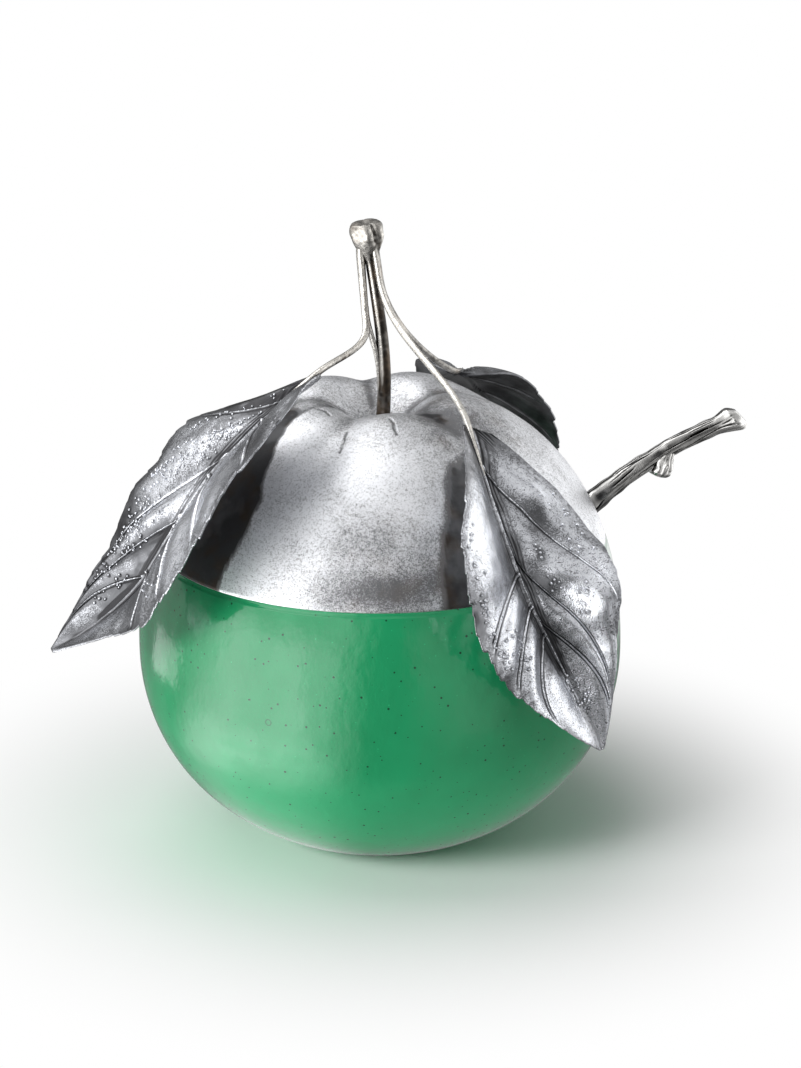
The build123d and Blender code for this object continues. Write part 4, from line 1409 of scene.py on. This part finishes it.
@dataclass(frozen=True)
class Panel:
    """Part of the studio tent, lighter or darker than the rest, in degrees round from -Y and up."""

    turn: float
    half_turn: float
    rise: float
    half_rise: float
    level: float
    soft: tuple  # widths of the fading edges, round and up

    def mask(self, turn: Array, rise: Array) -> Array:
        """Share of the panel at these directions, fading at its edges."""
        away = np.abs((turn - self.turn + 180) % 360 - 180)
        beyond = np.abs(rise - self.rise)
        across = smooth(self.half_turn - away, -0.5 * self.soft[0], 0.5 * self.soft[0])
        return across * smooth(self.half_rise - beyond, -0.5 * self.soft[1], 0.5 * self.soft[1])


@dataclass
class Studio:
    """Pale floor, white surroundings, soft lamps, and a tent that only gloss shows."""

    panels: tuple
    floor_size: float = 6.0
    floor_grey: float = 0.93
    clear_floor: tuple = (0.04, 0.115)  # metres from the pot over which the floor turns plain white
    world_light: float = 0.27
    tent_level: float = 0.8
    floor_level: float = 0.25
    tent_radius: float = 2.5
    tent_hole: float = 22.0  # radius in millimetres, just outside the pot's foot
    tent_gap: float = 0.2  # millimetres over the floor
    folds: float = 0.18  # unevenness of the cloth
    mirror: tuple = (40.0, 50.0)  # height and radius of the glass that mirrors the floor
    lamp_aim: tuple = (0.0, 0.0, 0.06)
    lamps: tuple = (  # name, place in metres, size and power
        ("key_softbox", (-1.15, -0.65, 0.6), 0.6, 18.0),
        ("fill_softbox", (0.65, -0.95, 0.6), 0.6, 0.4),
        ("top_softbox", (-0.4, 0.1, 1.25), 0.9, 3.5),
    )

    def build(self) -> None:
        """Makes the floor, the surroundings, the tent and the lamps."""
        self.build_floor()
        self.build_world()
        self.build_tent()
        for lamp in self.lamps:
            self.build_lamp(*lamp)
        bpy.context.scene.view_settings.view_transform = "Standard"

    def build_floor(self) -> None:
        """Large pale floor, lit near the pot and plain white far from it."""
        half = self.floor_size / MM / 2
        corners = np.array([[-half, -half, 0], [half, -half, 0], [half, half, 0], [-half, half, 0]])
        floor = mesh_piece("pale_floor", corners, np.arange(4)[None])
        shader = Shader.material("pale_floor")
        tone = shader.remap(shader.noise(40.0, 3.0), 0.2, 0.8, self.floor_grey - 0.01, self.floor_grey)
        shader.fill(shader.main, Base_Color=tone, Roughness=0.9, Specular_IOR_Level=0.1)
        white = shader.add("Emission", Strength=1.0)
        far = shader.remap(shader.vector("LENGTH").outputs["Value"], *self.clear_floor)
        both = shader.add("MixShader", Fac=shader.math("MULTIPLY", far, shader.seen()))
        shader.join(both, 1, shader.main.outputs[0])
        shader.join(both, 2, white.outputs[0])
        shader.show(both)
        floor.data.materials.append(shader.owner)

    def build_world(self) -> None:
        """White surroundings for what is seen and mirrored, and an even soft light for the rest."""
        shader = Shader(bpy.data.worlds.new("white_surroundings"))
        level = shader.add("MapRange", Value=shader.seen(), To_Min=self.world_light, To_Max=1.0)
        shader.fill(shader.tree.nodes["Background"], Color=(1, 1, 1, 1), Strength=level.outputs["Result"])
        bpy.context.scene.world = shader.owner

    def build_tent(self) -> None:
        """Cloth round and under the pot whose lighter and darker panels only gloss shows.

        The cloth is a ring on the floor and half a ball above it, with faint folds. A place on the floor
        counts as the direction in which the middle of the glass mirrors it, and each place glows as its
        panels say.
        """
        turn = np.linspace(-180, 180, 181)[None, :-1]
        reach = np.geomspace(self.tent_hole, self.tent_radius / MM, 50)[:, None]
        rise = np.linspace(0.5, 90, 60)[:, None]
        ball = polar(np.cos(np.radians(rise)), turn - 90, np.sin(np.radians(rise))) * self.tent_radius / MM
        points = np.concatenate([polar(reach, turn - 90, self.tent_gap), ball])
        height, radius = self.mirror
        sunk = -np.degrees(np.arctan2(height, np.maximum(reach - radius, 1.0)))
        rise = np.concatenate([sunk, rise])
        glow = np.broadcast_to(mix(self.floor_level, self.tent_level, smooth(rise, -30.0, 15.0)), points.shape[:2])
        for panel in self.panels:
            glow = mix(glow, panel.level, panel.mask(turn, rise))
        folds = polar(np.cos(np.radians(rise)), turn, np.sin(np.radians(rise)))
        glow = glow * (1 + self.folds * noise(folds * np.array([10.0, 10.0, 3.0]), 1.0, 61))
        tent = mesh_piece("studio_tent", points.reshape(-1, 3), grid_faces(*glow.shape), glow, "glow")
        shader = Shader.material("studio_tent")
        shader.show(shader.add("Emission", Strength=shader.field("glow")))
        shader.owner.cycles.emission_sampling = "NONE"
        tent.data.materials.append(shader.owner)
        tent.visible_camera = tent.visible_diffuse = tent.visible_shadow = False

    def build_lamp(self, name: str, spot: tuple, size: float, power: float) -> None:
        """Square soft lamp that faces the pot, and that gloss sees only as the tent's panels."""
        data = bpy.data.lights.new(name, "AREA")
        data.size = size
        data.energy = power
        lamp = add_object(name, data)
        lamp.location = spot
        lamp.rotation_euler = (Vector(self.lamp_aim) - Vector(spot)).to_track_quat("-Z", "Y").to_euler()
        lamp.visible_glossy = False


def rows_of(kind: type, *rows: tuple) -> tuple:
    """One object of a kind for each row of its values."""
    return tuple(kind(*row) for row in rows)


# Rows of a leaf's tables: patches of tarnish, painted shade and painted highlights as (u, v, width along u, width
# along v, depth, lift), veins for v below and above 0 as (start, reach, power), and beads as (u, v, spread along u,
# spread along v, count, turn).
LEAVES = (
    LeafForm(
        "left_leaf",
        spine=((-29.9, 226.7, 7.4), (-2.0, 218.0, -5.0), (6.2, 209.2, -19.0), (-6.7, 196.9, -36.2),
               (22.0, 196.2, -45.8)),
        twist=(-19.9, 4.0), half_width=(18.7, 16.7), fold=(0.53, 0.42), curl=0.0115, powers=(0.62, 0.79), teeth=7,
        neck=(0.1, 0.55), shoulder=0.14, tooth_depth=(0.08, 0.06), wave=(0.5, 0.5), tarnish=(0.48, 0.2),
        margin=(0.05, 0.5), ends=(0.4, 0.4),
        tarnish_and_light_patches=rows_of(
            LeafTarnishAndLight, (0.48, 0.45, 0.1, 0.3, -0.3), (0.8, 0.5, 0.1, 0.4, 0.34), (0.45, -0.6, 0.3, 0.5, -0.35),
            (0.42, -1.0, 0.3, 0.4, 0.0, -0.8), (0.08, 0.45, 0.06, 0.4, 0.5), (0.18, 0.2, 0.05, 0.14, -0.35),
            (0.47, 0.68, 0.06, 0.14, -0.3), (0.4, 0.14, 0.1, 0.13, -0.4), (0.62, 0.82, 0.1, 0.2, 0.3),
            (0.8, 0.08, 0.06, 0.2, 0.4), (0.72, 0.25, 0.03, 0.1, -0.3), (0.66, 0.35, 0.08, 0.25, 0.25),
            (0.22, 0.5, 0.1, 0.3, 0.12)),
        veins=(rows_of(Vein, (0.14, 0.12), (0.32, 0.12), (0.5, 0.12), (0.68, 0.12)),
               rows_of(Vein, (0.05, 0.17), (0.25, 0.56), (0.46, 0.45, 0.9), (0.7, 0.26))),
        beads=rows_of(
            BeadPatch, (0.19, 0.33, 0.04, 0.09, 26, 0.4), (0.26, 0.22, 0.06, 0.07, 24, 0.4),
            (0.48, 0.72, 0.08, 0.14, 26, 0.4), (0.64, 0.45, 0.08, 0.2, 30, 0.4),
            (0.82, 0.43, 0.05, 0.2, 18, 0.2), (0.6, -0.5, 0.1, 0.3, 16), (0.36, 0.55, 0.09, 0.2, 46, 0.4),
            (0.58, 0.62, 0.07, 0.2, 40, 0.4), (0.74, 0.7, 0.07, 0.2, 40, 0.3),
            (0.16, 0.6, 0.05, 0.2, 24, 0.3)),
        bead=0.24, attach=5.5, fork=21.0, side=195.0, drop=5.0, arrive=6.0, thick=0.9, part=1.1, seed=11),
    LeafForm(
        "front_leaf",
        spine=((-17.0, -68.2, 1.4), (0.5, -67.8, -21.2), (9.1, -69.9, -29.3), (5.3, -64.8, -31.7),
               (15.2, -56.3, -59.5)),
        twist=(26.5, -19.8), half_width=(16.6, 17.9), fold=(0.60, 0.61), curl=0.0093, powers=(0.65, 0.84), teeth=9,
        neck=(0.0, 0.5), shoulder=0.0, tooth_depth=(0.025, 0.06), wave=(0.15, 0.5), tarnish=(0.34, 0.4),
        margin=(0.05, 0.15), ends=(0.14, 0.0),
        tarnish_and_light_patches=rows_of(
            LeafTarnishAndLight, (0.65, -0.6, 0.12, 0.34, -0.6), (0.13, -0.3, 0.035, 0.14, -0.5),
            (0.2, -0.52, 0.045, 0.2, 0.45, 0.8), (0.28, -0.45, 0.05, 0.2, 0.3),
            (0.36, -0.3, 0.03, 0.12, 0.3, 0.5), (0.48, -0.31, 0.045, 0.14, 0.45, 0.5),
            (0.69, -0.38, 0.03, 0.1, -0.5), (0.73, 0.1, 0.07, 0.2, 0.4), (0.92, 0.0, 0.08, 0.8, -0.7),
            (0.53, 0.49, 0.06, 0.14, -0.4), (0.55, 0.94, 0.12, 0.16, 0.3), (0.25, 0.8, 0.08, 0.2, -0.3),
            (0.45, -0.7, 0.07, 0.2, -0.2), (0.82, -0.75, 0.06, 0.2, -0.4),
            (0.64, -0.95, 0.15, 0.36, 0.0, 2.5), (0.9, -0.9, 0.1, 0.7, 0.0, 1.0),
            (0.45, 0.6, 0.2, 0.4, -0.15)),
        veins=(rows_of(Vein, (0.09, 0.62, 1.5), (0.26, 0.68, 0.62), (0.58, 0.37, 0.6)),
               rows_of(Vein, (0.41, 0.2), (0.55, 0.22), (0.67, 0.24))),
        beads=rows_of(
            BeadPatch, (0.61, -0.57, 0.06, 0.06, 14), (0.87, -0.15, 0.05, 0.2, 20), (0.56, 0.85, 0.12, 0.09, 46),
            (0.66, 0.55, 0.08, 0.12, 16), (0.42, -0.35, 0.12, 0.1, 12), (0.3, -0.75, 0.15, 0.15, 20),
            (0.3, 0.8, 0.1, 0.1, 10)),
        bead=0.3, attach=5.5, fork=11.0, side=-55.0, drop=13.0, arrive=10.0, thick=0.75, part=0.0, seed=12),
    LeafForm(
        "back_leaf",
        spine=((-23.5, 43.3, -3.5), (-10.9, 54.0, -4.8), (3.3, 52.5, -17.8), (11.3, 50.1, -33.9),
               (13.5, 50.7, -48.3)),
        twist=(15.3, 9.9), half_width=(15.1, 12.9), fold=(0.45, 0.12), curl=0.012, powers=(0.64, 0.82), teeth=6,
        neck=(0.0, 0.0), shoulder=0.0, tooth_depth=(0.05, 0.05), wave=(0.4, 0.4), tarnish=(0.5, 0.9),
        margin=(0.25, 0.25), ends=(0.0, 0.0),
        tarnish_and_light_patches=rows_of(
            LeafTarnishAndLight, (0.3, 0.3, 0.05, 0.2, -0.4), (0.55, 0.6, 0.05, 0.2, -0.4), (0.4, -0.4, 0.06, 0.2, -0.3)),
        veins=(rows_of(Vein, (0.1, 0.3), (0.28, 0.34), (0.46, 0.34), (0.65, 0.26)),
               rows_of(Vein, (0.14, 0.3), (0.32, 0.34), (0.5, 0.32), (0.68, 0.25))),
        beads=rows_of(
            BeadPatch, (0.35, 0.5, 0.06, 0.15, 22, 0.3), (0.55, -0.5, 0.06, 0.15, 22, 0.3),
            (0.72, 0.4, 0.06, 0.2, 18, 0.3), (0.22, -0.4, 0.05, 0.12, 14, 0.3)),
        bead=0.24, attach=5.5, fork=12.0, side=40.0, drop=12.0, arrive=6.0, thick=0.75, part=0.0, seed=13),
)
# painted shadows of the leaves on the lid
PAINTED_LEAF_SHADOWS = (
    PaintedLeafShadow(heights=(64.0, 67.5, 71.5, 75.7, 79.5, 83.8, 87.6, 89.6, 91.5),
            near=(-141.0, -140.0, -138.5, -138.0, -138.0, -141.5, -145.0, -148.0, -152.0),
            width=-43.0, depth=1.02, top=92.6, soft=0.5),
    PaintedLeafShadow(heights=(64.6, 69.9, 74.8, 79.5, 83.9, 87.3), near=(-83.0, -82.3, -80.6, -78.0, -74.0, -69.5),
            width=34.0, depth=0.92, top=86.5, soft=1.4, fade=14.0),
    PaintedLeafShadow(heights=(64.0, 80.0, 90.0), near=(26.0, 28.0, 32.0), width=52.0, depth=0.9, top=88.0, soft=3.0,
            fade=12.0),
)
# lid patches: tarnish and painted shade, and painted highlights where the depth is below 0
LID_TARNISH_AND_LIGHT = rows_of(
    LidTarnishAndLight,  # direction, height, width in degrees, height in millimetres, depth
    (-122.0, 79.0, 14.0, 7.0, -0.15),
    (-93.0, 66.5, 20.0, 3.4, 0.42),
    (-100.0, 74.0, 26.0, 5.0, 0.12),
    (-120.0, 87.5, 18.0, 5.0, -0.2),
    (-88.0, 86.0, 12.0, 5.0, -0.1),
    (-124.0, 67.5, 9.0, 4.5, -0.25),
    (-45.0, 91.0, 30.0, 3.5, 0.45),
)
CRACKS = (  # points as (reach, direction)
    ((19.4, -117.3), (20.6, -117.4), (21.8, -116.3), (23.5, -116.6), (25.2, -115.9)),
    ((16.8, -90.9), (18.7, -89.2), (20.3, -89.9), (22.0, -89.0)),
    ((15.6, -150.0), (14.9, -144.4), (15.4, -138.0)),
)
PANELS = rows_of(
    Panel,  # direction, half width, rise, half height, level, widths of the soft edges
    (70.0, 40.0, 46.0, 34.0, 0.65, (24.0, 24.0)),
    (180.0, 42.0, 10.0, 30.0, 0.15, (26.0, 24.0)),
    (-122.0, 46.0, 64.0, 24.0, 3.0, (24.0, 24.0)),
    (-25.0, 46.0, 46.0, 15.0, 0.6, (20.0, 20.0)),
    (0.0, 34.0, 25.0, 13.0, 0.25, (16.0, 14.0)),
    (104.0, 44.0, 6.0, 26.0, 1.65, (24.0, 20.0)),
    (28.0, 12.0, 2.0, 34.0, 0.5, (16.0, 20.0)),
    (-7.0, 14.0, -18.0, 50.0, 0.08, (16.0, 20.0)),
    (-58.0, 30.0, -18.0, 54.0, 3.3, (36.0, 60.0)),
    (-60.0, 44.0, 14.0, 8.0, 1.5, (20.0, 16.0)),
    (-114.0, 11.0, -20.0, 7.0, 1.6, (3.0, 3.0)),
)
GREY, BROWN = (0.045, 0.045, 0.048), (0.05, 0.038, 0.03)
LID_FINISH = SilverFinish(
    "stippled_silver", bright=(0.84, 0.85, 0.88), tarnish=GREY, stain=BROWN, roughness=0.42, grain=0.14,
    grain_depth=0.05, dots=0.85, dot_gain=0.45, cloud=0.08, metal=0.84)
LEAF_FINISH = SilverFinish(
    "chased_silver", bright=(0.84, 0.86, 0.91), tarnish=GREY, stain=GREY, roughness=0.18, grain=0.2,
    grain_depth=0.045, dots=0.85, dot_gain=0.35, cloud=0.1, metal=0.88)
STEM_FINISH = SilverFinish(
    "drawn_silver", bright=(0.88, 0.85, 0.795), tarnish=(0.03, 0.026, 0.022), stain=(0.12, 0.088, 0.062),
    roughness=0.26, grain=0.26, grain_depth=0.025, dots=0.6, dot_gain=0.4, cloud=0.1, metal=0.85)
TWIG_FINISH = SilverFinish(
    "cast_silver", bright=(0.84, 0.83, 0.81), tarnish=(0.012, 0.011, 0.01), stain=GREY, roughness=0.17, grain=0.25,
    grain_depth=0.02, dots=0.5, dot_gain=0.3, cloud=0.1)
PLAIN_FINISH = SilverFinish(
    "plain_silver", bright=(0.8, 0.8, 0.8), tarnish=GREY, stain=BROWN, roughness=0.18, grain=0.6,
    grain_depth=0.006, dots=0.15, dot_gain=0.2, cloud=0.12)
GLASS_FINISH = GlassFinish(
    "opal_green_glass", green=(0.006, 0.222, 0.08), pale=(0.022, 0.44, 0.18), speck=(0.003, 0.04, 0.02),
    speck_cell=1.3, roughness=0.05, haze=0.35, haze_roughness=0.3, floor_bounce_height=46.0, bubble=(-27.9, -41.5, 39.4))
TWIG_START = (44.241, 0.0, 67.194)
KEPT_SOLIDS = ("lid_locating_ring", "stalk_washer", "stalk_nut", "spoon_bowl")


def main() -> None:
    """Builds every piece in order, then the studio and the camera."""
    logging.basicConfig(level=logging.INFO)
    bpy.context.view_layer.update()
    form = FruitForm()
    GlassBowl(form).build(GLASS_FINISH.build())
    dome = LidDome(form, PAINTED_LEAF_SHADOWS, LID_TARNISH_AND_LIGHT, CRACKS)
    dome.build(LID_FINISH.build())
    stem_silver = STEM_FINISH.build()
    stalk = FruitStalk((dome.hole_shift, 0.0, float(dome.mean(np.array(dome.seat)))))
    stalk.build(stem_silver)
    leaf_silver = LEAF_FINISH.build()
    for leaf in LEAVES:
        chased = ChasedLeaf(form, leaf, stalk)
        chased.build_beads(leaf_silver, chased.build_blade(leaf_silver))
        chased.build_stem(stem_silver)
    TwigHandle(TWIG_START).build(TWIG_FINISH.build())
    plain_silver = PLAIN_FINISH.build()
    for node in KEPT_SOLIDS:
        frame["nodes"][node].data.materials.clear()
        frame["nodes"][node].data.materials.append(plain_silver)
        LOG.info("%s keeps its solid", node)
    Studio(PANELS).build()
    PhotoCamera().build(Vector((0, 0, form.equator * MM)))


if __name__ == "__main__":
    main()
